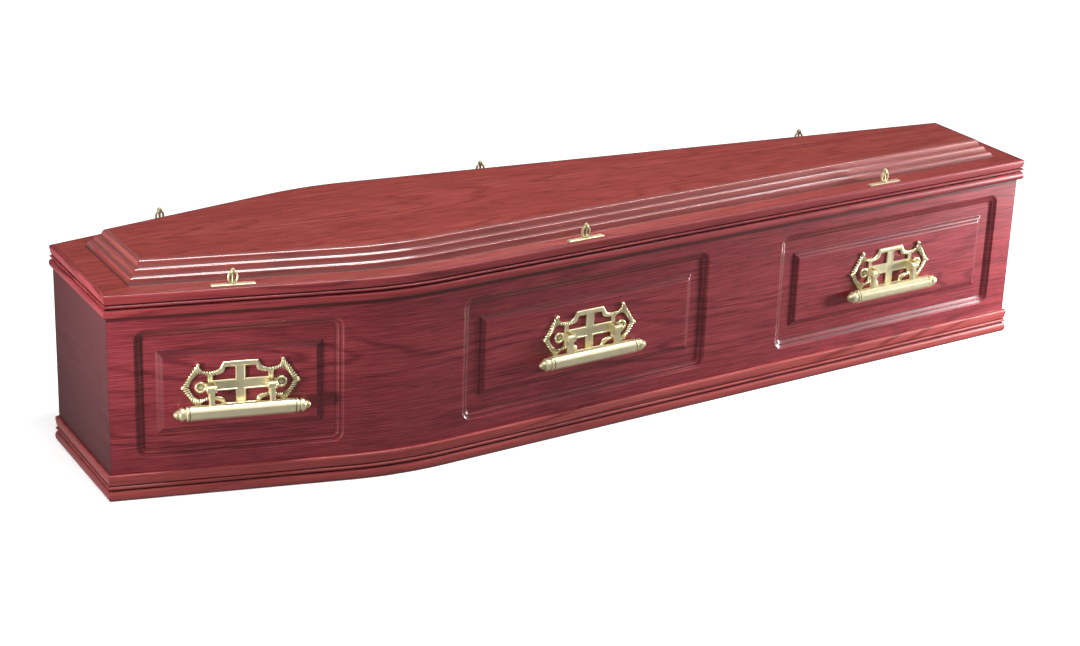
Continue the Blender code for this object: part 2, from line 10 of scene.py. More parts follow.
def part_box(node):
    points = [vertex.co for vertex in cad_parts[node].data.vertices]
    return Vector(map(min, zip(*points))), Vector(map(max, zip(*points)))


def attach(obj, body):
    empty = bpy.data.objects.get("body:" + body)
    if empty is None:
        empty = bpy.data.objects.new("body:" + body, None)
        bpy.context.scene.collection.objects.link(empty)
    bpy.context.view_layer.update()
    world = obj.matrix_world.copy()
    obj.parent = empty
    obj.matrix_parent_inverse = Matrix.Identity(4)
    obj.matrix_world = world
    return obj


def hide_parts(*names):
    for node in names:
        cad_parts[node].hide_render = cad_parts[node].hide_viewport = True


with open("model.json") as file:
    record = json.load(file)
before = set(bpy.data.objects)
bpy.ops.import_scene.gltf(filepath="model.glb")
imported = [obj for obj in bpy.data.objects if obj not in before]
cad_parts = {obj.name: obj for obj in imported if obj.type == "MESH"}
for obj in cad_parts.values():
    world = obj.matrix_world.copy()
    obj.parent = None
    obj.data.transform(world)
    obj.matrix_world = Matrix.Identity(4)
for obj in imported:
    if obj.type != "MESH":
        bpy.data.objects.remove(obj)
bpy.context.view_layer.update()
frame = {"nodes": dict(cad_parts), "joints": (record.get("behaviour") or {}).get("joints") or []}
print("frame loaded")


# Shader values written as Python sums

# One output socket. Sums and products with numbers or other values add Math nodes.
class shadeValue:
    def __init__(self, socket):
        self.socket = socket
        self.tree = socket.id_data

    def maths(self, operation, first, second=None, clamp=False):
        node = self.tree.nodes.new("ShaderNodeMath")
        node.operation = operation
        node.use_clamp = clamp
        for slot, part in zip(node.inputs, (first, second)):
            if isinstance(part, shadeValue):
                self.tree.links.new(part.socket, slot)
            elif part is not None:
                slot.default_value = part
        return shadeValue(node.outputs[0])

    def __add__(self, other):
        return self.maths("ADD", self, other)

    def __radd__(self, other):
        return self.maths("ADD", other, self)

    def __sub__(self, other):
        return self.maths("SUBTRACT", self, other)

    def __rsub__(self, other):
        return self.maths("SUBTRACT", other, self)

    def __mul__(self, other):
        return self.maths("MULTIPLY", self, other)

    def __rmul__(self, other):
        return self.maths("MULTIPLY", other, self)

    def __pow__(self, other):
        return self.maths("POWER", self, other)

    def sine(self):
        return self.maths("SINE", self)

    def clamped(self):
        return self.maths("ADD", self, 0.0, clamp=True)

    def between(self, low, high):  # 0 below low, 1 above high, smooth in the middle
        node = self.tree.nodes.new("ShaderNodeMapRange")
        node.interpolation_type = "SMOOTHSTEP"
        self.tree.links.new(self.socket, node.inputs["Value"])
        node.inputs["From Min"].default_value = low
        node.inputs["From Max"].default_value = high
        return shadeValue(node.outputs["Result"])


# A material or world being built, and the one method that adds any other node to it.
class finishMaker:
    def __init__(self, owner):
        owner.use_nodes = True
        self.tree = owner.node_tree

    def add(self, kind, settings=None, sockets=None, output=0):
        node = self.tree.nodes.new(kind)
        for name, setting in (settings or {}).items():
            if name == "stops":
                setStops(node.color_ramp, setting)
            else:
                setattr(node, name, setting)
        for name, part in (sockets or {}).items():
            feed(self.tree, node.inputs[name], part)
        return shadeValue(node.outputs[output])

    def mixColours(self, share, first, second):
        return self.add("ShaderNodeMix", {"data_type": "RGBA"}, {0: share, 6: first, 7: second}, 2)

    def scaled(self, vector, scale, shift=(0, 0, 0)):
        return self.add("ShaderNodeMapping", {}, {"Vector": vector, "Scale": scale, "Location": shift})

    def noise(self, vector, scale, detail=2.0, rough=0.5):
        return self.add("ShaderNodeTexNoise", {}, {"Vector": vector, "Scale": scale, "Detail": detail,
                                                   "Roughness": rough})

    def feedShader(self, sockets):
        shader = self.tree.nodes["Principled BSDF"]
        for name, part in sockets.items():
            feed(self.tree, shader.inputs[name], part)


# A socket gets a link from a shade value, and otherwise the number or colour itself.
def feed(tree, socket, part):
    if isinstance(part, shadeValue):
        tree.links.new(part.socket, socket)
    elif hasattr(part, "__len__") and len(part) == 3 and socket.type == "RGBA":
        socket.default_value = (*part, 1.0)
    else:
        socket.default_value = part


# A ramp's stops, each a place from 0 to 1 and a colour.
def setStops(ramp, stops):
    while len(ramp.elements) > 1:
        ramp.elements.remove(ramp.elements[-1])
    ramp.elements[0].position, ramp.elements[0].color = stops[0][0], (*stops[0][1], 1.0)
    for place, colour in stops[1:]:
        ramp.elements.new(place).color = (*colour, 1.0)


# Finishes

mahoganyLook = {
    "dark": (0.172, 0.019, 0.015), "middle": (0.304, 0.041, 0.034), "light": (0.425, 0.082, 0.066),
    "pore": (0.070, 0.008, 0.008), "figureRings": 20.0, "wobble": 0.012, "figure": 0.16, "drift": 0.30,
    "streaks": 0.75, "fibres": 1.05, "poreStrength": 0.80, "roughness": 0.36, "coat": 0.06,
    "coatRoughness": 0.16,
    "coatIor": 1.5, "bump": 0.12, "specular": 0.30, "stain": 0.96,  # how dark the painted shade in the grooves goes, the last key
}
# The sides' copy of the mahogany is darker and bluer: painted shade.
sideShadedLook = dict(mahoganyLook, dark=(0.150, 0.013, 0.022), middle=(0.260, 0.028, 0.040),
                light=(0.370, 0.055, 0.066), figure=0.34, streaks=0.75, fibres=1.25, coat=0.45,
                coatRoughness=0.22, specular=0.34)
mouldingLook = dict(mahoganyLook, coat=1.0, coatRoughness=0.11, coatIor=2.35, specular=0.5, streaks=0.5,
                    fibres=0.5, poreStrength=0.4)
# The lid edge's copy is darker and bluer too: painted shade.
edgeShadedLook = dict(sideShadedLook, dark=(0.155, 0.015, 0.020), middle=(0.275, 0.032, 0.038),
                light=(0.390, 0.062, 0.066), coat=0.35, coatRoughness=0.13, coatIor=1.6, specular=0.35,
                streaks=0.5, fibres=0.5, poreStrength=0.4)
# The base moulding's copy of the mahogany is lighter: painted light.
baseLitLook = dict(edgeShadedLook, dark=(0.200, 0.026, 0.024), middle=(0.380, 0.060, 0.058),
                light=(0.510, 0.110, 0.100))
# The end boards' copy of the mahogany is much darker, as well as duller: painted shade.
shadedEndLook = dict(mahoganyLook, dark=(0.070, 0.018, 0.022), middle=(0.092, 0.025, 0.029),
                light=(0.115, 0.034, 0.038), roughness=0.5, coat=0.0, coatRoughness=0.3, streaks=0.2,
                fibres=0.2, poreStrength=0.2)


grainLayers = {  # scale along and across the grain, shift, detail, roughness
    "slow": ((0.75, 6.0), (0.0, 0.0), 2.0, 0.45), "wobble": ((14.0, 60.0), (0.4, 9.1), 2.0, 0.5),
    "drift": ((1.1, 14.0), (3.1, 7.7), 3.0, 0.55), "streaks": ((6.0, 300.0), (1.7, 0.3), 4.0, 0.6),
    "fibres": ((12.0, 560.0), (0.0, 0.0), 2.0, 0.6), "pores": ((26.0, 620.0), (5.0, 2.0), 1.0, 0.5),
}


# Stained veneer on the piece's own UV map, in metres, with the grain along U. The figure is a sine of a
# slow stretched noise, which a wobble roughens, so it follows that noise's contour lines. Streaks, fibres
# and short dark pores come from finer noises, and painted shade lies dark where the groove attribute says.
def makeWood(name, look):
    made = bpy.data.materials.new(name)
    wood = finishMaker(made)
    place = wood.add("ShaderNodeUVMap", {"uv_map": "grain"})
    layer = {kind: wood.noise(wood.scaled(place, (*scale, 1.0), (*shift, 0.0)), 1.0, detail, rough)
             for kind, (scale, shift, detail, rough) in grainLayers.items()}
    drift, streaks, fibres = layer["drift"], layer["streaks"], layer["fibres"]
    contour = (layer["slow"] + layer["wobble"] * look["wobble"]) * (look["figureRings"] * 2 * math.pi)
    figure = (contour.sine() * 0.5 + 0.5) ** 5.0
    pore = layer["pores"].between(0.56, 0.66) * (figure * 0.5 + 0.5)
    shown = (figure - 0.2) * drift.between(0.42, 0.62)
    tone = (0.49 + (drift - 0.5) * look["drift"] - shown * look["figure"]
            + (streaks - 0.5) * look["streaks"] + (fibres - 0.5) * look["fibres"]).clamped()
    colour = wood.add("ShaderNodeValToRGB", {"stops": ((0.22, look["dark"]), (0.48, look["middle"]),
                                                        (0.76, look["light"]))}, {"Fac": tone})
    colour = wood.mixColours(pore * look["poreStrength"], colour, look["pore"])
    # Painted shade: the groove attribute darkens the colour towards the pore colour in grooves, recesses and
    # under the lid.
    groove = wood.add("ShaderNodeAttribute", {"attribute_name": "groove"}, output=2)
    colour = wood.mixColours(groove * look["stain"], colour, look["pore"])
    height = streaks * 0.5 - pore * 0.8
    bump = wood.add("ShaderNodeBump", {}, {"Strength": look["bump"], "Distance": 0.0004, "Height": height})
    roughness = look["roughness"] + (streaks - 0.5) * 0.14 + pore * 0.1
    wood.feedShader({"Base Color": colour, "Roughness": roughness, "Normal": bump,
                     "Coat Weight": look["coat"], "Coat Roughness": look["coatRoughness"],
                     "Coat IOR": look["coatIor"], "Specular IOR Level": look["specular"]})
    return made


brassLook = {
    "bright": (0.96, 0.88, 0.58), "pale": (0.91, 0.83, 0.54), "deep": (0.24, 0.19, 0.06),
    "roughness": 0.26, "metallic": 0.78, "mottle": 70.0, "bump": 0.12,
}


# Pale plating: colour and roughness vary softly, and the recesses are deeper and duller.
def makeBrass(name, look):
    made = bpy.data.materials.new(name)
    brass = finishMaker(made)
    place = brass.add("ShaderNodeTexCoord", output=3)
    cloud = brass.noise(place, look["mottle"], 3.0, 0.55)
    fine = brass.noise(place, look["mottle"] * 12, 2.0, 0.6)
    relief = brass.add("ShaderNodeAttribute", {"attribute_name": "relief"}, output=2)
    colour = brass.mixColours(cloud.between(0.35, 0.65), look["pale"], look["bright"])
    recess = (1 - relief).between(0.35, 1.0)
    colour = brass.mixColours(recess * 0.75, colour, look["deep"])
    bump = brass.add("ShaderNodeBump", {}, {"Strength": look["bump"], "Distance": 0.0003,
                                             "Height": cloud * 0.7 + fine * 0.3})
    brass.feedShader({"Base Color": colour, "Metallic": look["metallic"], "Normal": bump,
                      "Roughness": look["roughness"] + cloud * 0.10 + recess * 0.2})
    return made


boardLook = {"pale": (0.52, 0.38, 0.24), "brown": (0.33, 0.21, 0.12), "roughness": 0.7}


# Unfinished board: fine chips and fibres in two browns, on object coordinates.
def makeBareBoard(name, look):
    made = bpy.data.materials.new(name)
    bare = finishMaker(made)
    place = bare.add("ShaderNodeTexCoord", output=3)
    chips = bare.noise(bare.scaled(place, (60, 160, 160)), 1.0, 4.0, 0.7)
    broad = bare.noise(bare.scaled(place, (2, 14, 14)), 1.0, 2.0, 0.5)
    tone = (chips * 0.7 + broad * 0.3).between(0.3, 0.7)
    colour = bare.mixColours(tone, look["brown"], look["pale"])
    bump = bare.add("ShaderNodeBump", {}, {"Strength": 0.3, "Distance": 0.0006, "Height": chips})
    bare.feedShader({"Base Color": colour, "Roughness": look["roughness"] + chips * 0.15, "Normal": bump})
    return made


mahogany = makeWood("redMahogany", mahoganyLook)
sideMahogany = makeWood("sideMahogany", sideShadedLook)
mouldingMahogany = makeWood("mouldingMahogany", mouldingLook)
edgeMahogany = makeWood("edgeMahogany", edgeShadedLook)
baseMahogany = makeWood("baseMahogany", baseLitLook)
dullMahogany = makeWood("dullMahogany", shadedEndLook)
brass = makeBrass("palePlating", brassLook)
bareBoard = makeBareBoard("bareBoard", boardLook)
print("finishes made")


# Surfaces

# A closed skin over a grid of points[row, column]: rows follow the path and columns the section.
# The section closes on itself, and a many-sided face closes each end.
def gridShell(points, uv=None, relief=None, groove=None):
    rows, columns = points.shape[:2]
    i, j = np.meshgrid(np.arange(rows - 1), np.arange(columns), indexing="ij")
    nextColumn = (j + 1) % columns
    quads = np.stack([i * columns + j, (i + 1) * columns + j, (i + 1) * columns + nextColumn,
                      i * columns + nextColumn], -1).reshape(-1, 4)
    faces = quads.tolist() + [list(range(columns)), list(range((rows - 1) * columns, rows * columns))]
    shell = {"points": points.reshape(-1, 3), "faces": faces}
    if uv is not None:
        corners = np.stack([uv[i, j], uv[i + 1, j], uv[i + 1, j + 1], uv[i, j + 1]], -2).reshape(-1, 2)
        shell["uv"] = np.concatenate([corners, uv[0, :columns], uv[-1, :columns]])
    for name, shares in (("relief", relief), ("groove", groove)):
        if shares is not None:
            shell[name] = np.broadcast_to(shares, (rows, columns)).reshape(-1)
    return shell


# A skin like a ring: both the rows and the columns close on themselves.
def ringShell(points, relief):
    rows, columns = points.shape[:2]
    i, j = np.meshgrid(np.arange(rows), np.arange(columns), indexing="ij")
    down, across = (i + 1) % rows, (j + 1) % columns
    quads = np.stack([i * columns + j, down * columns + j, down * columns + across,
                      i * columns + across], -1)
    return {"points": points.reshape(-1, 3), "faces": quads.reshape(-1, 4).tolist(),
            "relief": np.broadcast_to(relief, (rows, columns)).reshape(-1)}


# One object from closed skins, faces outwards, smooth but for edges sharper than crease.
def makePiece(name, shells, material, body, nodes, crease=32.0):
    points = np.concatenate([s["points"] for s in shells])
    faces, start = [], 0
    for shell in shells:
        faces += [[corner + start for corner in face] for face in shell["faces"]]
        start += len(shell["points"])
    mesh = bpy.data.meshes.new(name)
    mesh.from_pydata(points.tolist(), [], faces)
    if "uv" in shells[0]:
        grain = mesh.uv_layers.new(name="grain")
        grain.data.foreach_set("uv", np.concatenate([s["uv"] for s in shells]).astype(np.float32).ravel())
    for kind in ("relief", "groove"):
        if kind in shells[0]:
            layer = mesh.attributes.new(kind, "FLOAT", "POINT")
            layer.data.foreach_set("value", np.concatenate([s[kind] for s in shells]).astype(np.float32))
    work = bmesh.new()
    work.from_mesh(mesh)
    bmesh.ops.recalc_face_normals(work, faces=work.faces)
    work.to_mesh(mesh)
    work.free()
    mesh.shade_smooth()
    mesh.set_sharp_from_angle(angle=math.radians(crease))
    mesh.materials.append(material)
    piece = bpy.data.objects.new(name, mesh)
    bpy.context.scene.collection.objects.link(piece)
    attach(piece, body)
    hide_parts(*nodes)


# Points on an ellipse: centre plus radii times the cosine and sine of an even run of angles.
def arc(centre, radii, fromDeg, toDeg, steps):
    angle = np.radians(np.linspace(fromDeg, toDeg, steps + 1))
    return np.stack([centre[0] + radii[0] * np.cos(angle), centre[1] + radii[1] * np.sin(angle)], -1)


# The plan outline

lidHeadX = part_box("lid_moulding_head")[0].x
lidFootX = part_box("lid_moulding_foot")[1].x
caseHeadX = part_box("head_board")[0].x
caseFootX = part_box("foot_board")[1].x
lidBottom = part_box("lid_moulding_near")[0].z
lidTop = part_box("lid_moulding_near")[1].z
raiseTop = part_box("raised_panel")[1].z
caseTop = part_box("side_board_near")[1].z
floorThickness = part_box("base_board")[1].z

grainStart = {  # where each piece's grain starts on the veneer, in metres
    "base_moulding": 3.3, "lid_moulding": 5.1, "raised_moulding": 7.9, "head": 0.4, "foot": 0.9,
    "lid_board": 1.3, "raised_panel": 2.6, "near": 0.0, "far": 1.7, "endBoards": (4.0, 0.5),
}
plan = {  # widths across the lid, the shoulder's measured where the straight sides would meet
    "headWidth": 0.282, "shoulderWidth": 0.496, "footWidth": 0.262,
    "shoulderFromHead": 0.486, "bendRadius": 0.600, "bendSteps": 30, "fit": 0.0003,
}


# The two straight runs of the far side: a point on each, its direction and its way out.
def sideRuns(inset):
    head = np.array([lidHeadX, plan["headWidth"] / 2])
    shoulder = np.array([lidHeadX + plan["shoulderFromHead"], plan["shoulderWidth"] / 2])
    foot = np.array([lidFootX, plan["footWidth"] / 2])
    runs = []
    for start, end in ((head, shoulder), (shoulder, foot)):
        along = (end - start) / np.linalg.norm(end - start)
        out = np.array([-along[1], along[0]])
        runs.append((start - out * inset, along, out))
    return runs


# The point of a straight run at x.
def runAtX(run, x):
    return run[0] + run[1] * ((x - run[0][0]) / run[1][0])


# Lengths of the first run, the bend and the second run, and what places points on them.
def sideShape(inset, headX, footX):
    first, second = sideRuns(inset)
    turn = math.acos(float(first[1] @ second[1]))
    radius = plan["bendRadius"] - inset
    gap = second[0] - first[0]
    cross = first[1][0] * second[1][1] - first[1][1] * second[1][0]
    corner = first[0] + first[1] * ((gap[0] * second[1][1] - gap[1] * second[1][0]) / cross)
    reach = radius * math.tan(turn / 2)
    start, end = runAtX(first, headX), runAtX(second, footX)
    bendStart = corner - first[1] * reach
    return {"radius": radius, "centre": bendStart - first[2] * radius,
            "angle": math.atan2(first[2][1], first[2][0]),
            "runOne": float((bendStart - start) @ first[1]), "bend": radius * turn,
            "runTwo": float((end - corner) @ second[1]) - reach}


# Place, way along and way out at each length along the side: straight, then an arc, then straight.
def alongSide(shape, lengths):
    lengths = np.asarray(lengths, float)
    inBend = np.clip(lengths - shape["runOne"], 0.0, shape["bend"])
    angle = shape["angle"] - inBend / shape["radius"]
    out = np.stack([np.cos(angle), np.sin(angle)], -1)
    along = np.stack([np.sin(angle), -np.cos(angle)], -1)
    place = shape["centre"] + out * shape["radius"]
    before = np.minimum(lengths - shape["runOne"], 0.0)
    after = np.maximum(lengths - shape["runOne"] - shape["bend"], 0.0)
    place = place + along * (before + after)[:, None]
    return place, along, out


# Lengths along a side: few on the straight runs and many round the bend.
def stationsFor(shape, straight=6):
    one, bend, two = shape["runOne"], shape["bend"], shape["runTwo"]
    curved = one + np.linspace(0, bend, plan["bendSteps"])[1:-1]
    after = one + bend + np.linspace(0, two, straight)
    return np.concatenate([np.linspace(0, one, straight), curved, after])


# Points at each length and section point. Each ring is set back along the way out, and the two
# end rings are slid along the side so that they lie in the planes of the mitres.
def sideGrid(inset, headX, footX, lengths, setback, height, sign):
    shape = sideShape(inset, headX, footX)
    place, along, out = alongSide(shape, lengths)
    slide = np.zeros((len(place), setback.shape[-1]))
    depths = np.broadcast_to(setback, slide.shape)
    slide[0] = (depths[0] + plan["fit"] + out[0, 0] * depths[0]) / along[0, 0]
    slide[-1] = (-depths[-1] - plan["fit"] + out[-1, 0] * depths[-1]) / along[-1, 0]
    flat = place[:, None] - out[:, None] * depths[..., None] + along[:, None] * slide[..., None]
    points = np.zeros((*depths.shape, 3))
    points[..., 0] = flat[..., 0]
    points[..., 1] = flat[..., 1] * sign
    points[..., 2] = np.broadcast_to(height, depths.shape)
    return points


# How far round a closed section each point lies, back to the first one.
def sectionLengths(section):
    steps = np.linalg.norm(np.diff(np.concatenate([section, section[:1]]), axis=0), axis=1)
    return np.concatenate([[0.0], np.cumsum(steps)])


# Four mitred strips that carry one section round the coffin, with the grain along each. A section's
# columns are setback, height and how dark the painted shade lies.
def makeStrips(prefix, section, inset, headX, footX, material):
    shape = sideShape(inset, headX, footX)
    lengths = stationsFor(shape)
    around = sectionLengths(section[:, :2])
    stain, shift = section[:, 2], grainStart[prefix]
    for name, sign in (("far", 1), ("near", -1)):
        points = sideGrid(inset, headX, footX, lengths, section[:, 0], section[:, 1], sign)
        u, v = np.meshgrid(lengths, around, indexing="ij")
        uv = np.stack([u + shift, v + shift * sign], -1)
        makePiece(f"{prefix}_{name}_shaped", [gridShell(points, uv, groove=stain)], material,
                  "coffin", [f"{prefix}_{name}"])
    for end in ("head", "foot"):
        run = sideRuns(inset)[0 if end == "head" else 1]
        x = headX + section[:, 0] if end == "head" else footX - section[:, 0]
        start = run[0][None] - run[2][None] * section[:, :1]
        y = start[:, 1] + run[1][1] * (x - start[:, 0]) / run[1][0]
        across = np.linspace(1, -1, 5)
        points = np.zeros((len(across), len(section), 3))
        points[..., 0] = x
        points[..., 1] = across[:, None] * y
        points[..., 2] = section[:, 1]
        u, v = np.meshgrid(across * y.max(), around, indexing="ij")
        uv = np.stack([u + shift * 2, v + grainStart[end]], -1)
        makePiece(f"{prefix}_{end}_shaped", [gridShell(points, uv, groove=stain)], material,
                  "coffin", [f"{prefix}_{end}"])


# Edge moulding of the lid and the base

edge = {  # shares of the relief and of the height
    "noseBack": 0.62, "noseDrop": 0.10, "faceTop": 0.16, "faceFoot": (0.46, 0.375),
    "recess": (0.90, 0.415), "bead": 0.18, "beadMiddle": 0.495, "beadHalf": 0.070, "quirk": (0.568, 0.606),
    "bandEdge": 0.72, "bandTop": 0.612,
    "stainAt": (0, 7, 8, 9, 12, 18, 19, 21, 22, 24, 31, 33, 36),  # places in the section's run of points
    "stain": (0, 0, 1, 0.7, 0, 0.5, 1, 1, 0.6, 0, 0, 1, 1),  # how dark the painted shade lies at each of them
}


# Setback, height and painted shade from the top edge down: a quarter-round nose, a sloping face, a recess,
# a half-round bead, a quirk and a half-elliptic band. The painted shade is dark in the recess, at the
# bead's ends, in the quirk and at the foot of the band.
def edgeSection(top, height, relief):
    nose = arc((edge["noseBack"], edge["noseDrop"]), (edge["noseBack"] - edge["faceTop"], edge["noseDrop"]),
               -90, -180, 6)
    face = [edge["faceFoot"], edge["recess"]]
    bead = arc((edge["recess"][0], edge["beadMiddle"]), (edge["recess"][0] - edge["bead"], edge["beadHalf"]),
               -90, -270, 10)
    quirk = [(1.0, edge["quirk"][0]), (1.0, edge["quirk"][1])]
    band = arc((edge["bandEdge"], (1 + edge["bandTop"]) / 2), (edge["bandEdge"], (1 - edge["bandTop"]) / 2),
               -90, -270, 14)
    shares = np.concatenate([nose, face, bead, quirk, band])
    stain = np.interp(np.arange(len(shares)), edge["stainAt"], edge["stain"])
    return np.stack([shares[:, 0] * relief, top - shares[:, 1] * height, stain], -1)


# The same with points on the hidden sides added, which carry no painted shade.
def withBack(section, back):
    return np.concatenate([section, [(*spot, 0.0) for spot in back]])


lidRim = {
    "overhang": 0.0055, "sideThickness": 0.018, "boardThickness": 0.018, "rebate": 0.009, "relief": 0.0074,
}
baseRim = {"proud": 0.007, "height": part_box("base_moulding_near")[1].z, "relief": 0.0060}


# The base moulding stands proud of the case, and the lid's is rebated for the lid board.
def makeEdges():
    baseBack = baseRim["proud"] - plan["fit"]
    section = withBack(edgeSection(baseRim["height"], baseRim["height"], baseRim["relief"]),
                       [(baseBack, 0.0), (baseBack, baseRim["height"])])
    # The base moulding takes the lighter copy of the mahogany: painted light.
    makeStrips("base_moulding", section, lidRim["overhang"] - baseRim["proud"],
               caseHeadX - baseRim["proud"], caseFootX + baseRim["proud"], baseMahogany)
    inner = lidRim["overhang"] + lidRim["sideThickness"]
    under = lidTop - lidRim["boardThickness"] - plan["fit"]
    section = withBack(edgeSection(lidTop, lidTop - lidBottom, lidRim["relief"]),
                       [(inner, lidBottom), (inner, under), (lidRim["rebate"], under),
                        (lidRim["rebate"], lidTop)])
    # The lid edge takes the darker, bluer copy of the mahogany: painted shade.
    makeStrips("lid_moulding", section, 0.0, lidHeadX, lidFootX, edgeMahogany)


# Raised lid

raised = {
    "rimSide": 0.044, "rimHead": 0.055, "rimFoot": 0.051, "slopeWidth": 0.032, "tiers": 3,
    "tread": 0.0034, "nose": 0.0036, "treadRise": 0.0005, "stain": 0.5, "land": 0.0015,
    "seatWidth": 0.011, "panel": 0.012, "joint": 0.00008, "edgeRound": 0.0004, "meanHalfWidth": 0.15,
}


# Three equal tiers: each a sloping riser, a quarter-round nose and a tread that rises slightly, with dark
# painted shade in the corner behind it.
def raiseSection():
    low = lidTop + plan["fit"]
    width = raised["slopeWidth"] / raised["tiers"]
    rise = (raiseTop - low) / raised["tiers"]
    parts = []
    for tier in range(raised["tiers"]):
        high = low + (tier + 1) * rise
        nose = (tier + 1) * width - raised["tread"]
        parts.append([(tier * width, high - rise)])
        top = high - raised["treadRise"]
        parts.append(arc((nose, top - raised["nose"]), (raised["nose"], raised["nose"]), 180, 96, 7))
    land = raised["slopeWidth"] + raised["land"]
    seat = raiseTop - raised["panel"] - plan["fit"]
    back = land + raised["seatWidth"]
    parts.append([(land, raiseTop), (land, seat), (back, seat), (back, low)])
    section = np.concatenate(parts)
    corner = np.isclose((section[:, 1] - low) % rise, 0.0) * np.isclose(section[:, 0] % width, 0.0)
    return np.concatenate([section, corner[:, None] * raised["stain"]], 1)


# A flat board with the coffin's outline: the far edge points, the near ones mirrored, and a small
# round on the upper edge.
def flatBoard(name, inset, headX, footX, low, high):
    shape = sideShape(inset, headX, footX)
    edgePoints = alongSide(shape, stationsFor(shape))[0]
    loop = np.concatenate([edgePoints, edgePoints[::-1] * (1, -1)])
    halfSize = np.array([np.abs(loop[:, 0]).max(), raised["meanHalfWidth"]])
    rings = []
    bevel = raised["edgeRound"]
    for shrink, z in ((0.0, low), (0.0, high - bevel), (bevel, high)):
        rings.append(np.concatenate([loop * (1 - shrink / halfSize), np.full((len(loop), 1), z)], -1))
    points = np.array(rings)
    flat = points[..., :2] + grainStart[name]
    uv = np.concatenate([flat, flat[:, :1]], 1)
    makePiece(f"{name}_shaped", [gridShell(points, uv)], mahogany, "coffin", [name])


# The stepped slope, the lid board inside the rim and the panel inside the slope.
def makeLid():
    makeStrips("raised_moulding", raiseSection(), raised["rimSide"], lidHeadX + raised["rimHead"],
               lidFootX - raised["rimFoot"], mouldingMahogany)
    gap = lidRim["rebate"] + plan["fit"]
    flatBoard("lid_board", gap, lidHeadX + gap, lidFootX - gap, lidTop - lidRim["boardThickness"], lidTop)
    gap = raised["slopeWidth"] + raised["land"] + raised["joint"]
    flatBoard("raised_panel", raised["rimSide"] + gap, lidHeadX + raised["rimHead"] + gap,
              lidFootX - raised["rimFoot"] - gap, raiseTop - raised["panel"], raiseTop)


makeEdges()
makeLid()
print("mouldings and lid made")


# Sides with routed panels

routed = {
    "thickness": 0.018, "panelBottom": 0.072, "panelTop": 0.302, "headMargin": 0.043, "headLength": 0.352,
    "footMargin": 0.049, "footLength": 0.556, "middleGap": 0.171, "middleLength": 0.532,
    "cornerRadius": 0.020, "borderSide": 0.036, "borderTop": 0.041, "outerStep": 0.016, "innerStep": 0.012,
    "depth": 0.0074, "fieldDepth": 0.0010,
    "fine": 0.00068, "coarse": (0.015, 0.012),  # the grid's spacing in the steps, and along and up elsewhere
    "seam": (0.0, 0.0042, 0.0058), "seamStain": (1.0, 0.9, 0.0),  # the painted shadow line under the lid, downwards: depths below the top and how dark
}
# Share of a step's width against share of its depth, and against how dark the painted shade lies, darkest at
# the foot of each step.
stepShares = np.array([[0.0, 0.0], [0.02, 0.01], [0.10, 0.17], [0.34, 0.42], [0.40, 0.47], [0.50, 0.50],
                       [0.52, 0.51], [0.60, 0.67], [0.84, 0.92], [0.90, 0.97], [1.0, 1.0]])
stepShade = np.array([[0.0, 0.0], [0.10, 0.0], [0.18, 0.5], [0.30, 0.2], [0.38, 1.0], [0.46, 0.6],
                      [0.54, 0.0], [0.60, 0.0], [0.68, 0.5], [0.80, 0.2], [0.88, 1.0], [0.96, 0.5],
                      [1.0, 0.0]])


# Where each panel starts and ends along the side: two measured from the foot end, one from the head.
def panelSpans(total):
    footEnd = total - routed["footMargin"]
    middleEnd = footEnd - routed["footLength"] - routed["middleGap"]
    return [(routed["headMargin"], routed["headMargin"] + routed["headLength"]),
            (middleEnd - routed["middleLength"], middleEnd), (footEnd - routed["footLength"], footEnd)]


# How deep the router went at each point of one panel, and how dark the painted shade lies there. Outside
# in: a double step down by the distance from a round-cornered outline, a flat border, and a double step up
# by the distance from a square one.
def panelDepth(across, up, halfLength, halfHeight):
    radius = routed["cornerRadius"]
    x = np.abs(across) - (halfLength - radius)
    z = np.abs(up) - (halfHeight - radius)
    outside = np.hypot(np.maximum(x, 0), np.maximum(z, 0)) + np.minimum(np.maximum(x, z), 0) - radius
    down = np.interp(-outside / routed["outerStep"], stepShares[:, 0], stepShares[:, 1])
    inside = np.minimum(halfLength - routed["borderSide"] - np.abs(across),
                        halfHeight - routed["borderTop"] - np.abs(up))
    rise = np.interp(inside / routed["innerStep"], stepShares[:, 0], stepShares[:, 1])
    dark = (np.interp(-outside / routed["outerStep"], stepShade[:, 0], stepShade[:, 1])
            + np.interp(1 - inside / routed["innerStep"], stepShade[:, 0], stepShade[:, 1]))
    return routed["depth"] * down - (routed["depth"] - routed["fieldDepth"]) * rise, dark


# Grid lines from low to high: close together inside the spans and wide apart between them.
def closeLines(spans, low, high, coarse):
    lines = [low, high]
    for start, end in spans:
        lines += np.arange(start, end + routed["fine"] / 2, routed["fine"]).tolist()
    lines = np.unique(np.round(lines, 6))
    fill = [np.linspace(start, start + gap, int(gap / coarse) + 2)[1:-1]
            for start, gap in zip(lines, np.diff(lines)) if gap > coarse]
    return np.unique(np.round(np.concatenate([lines, *fill]), 6))
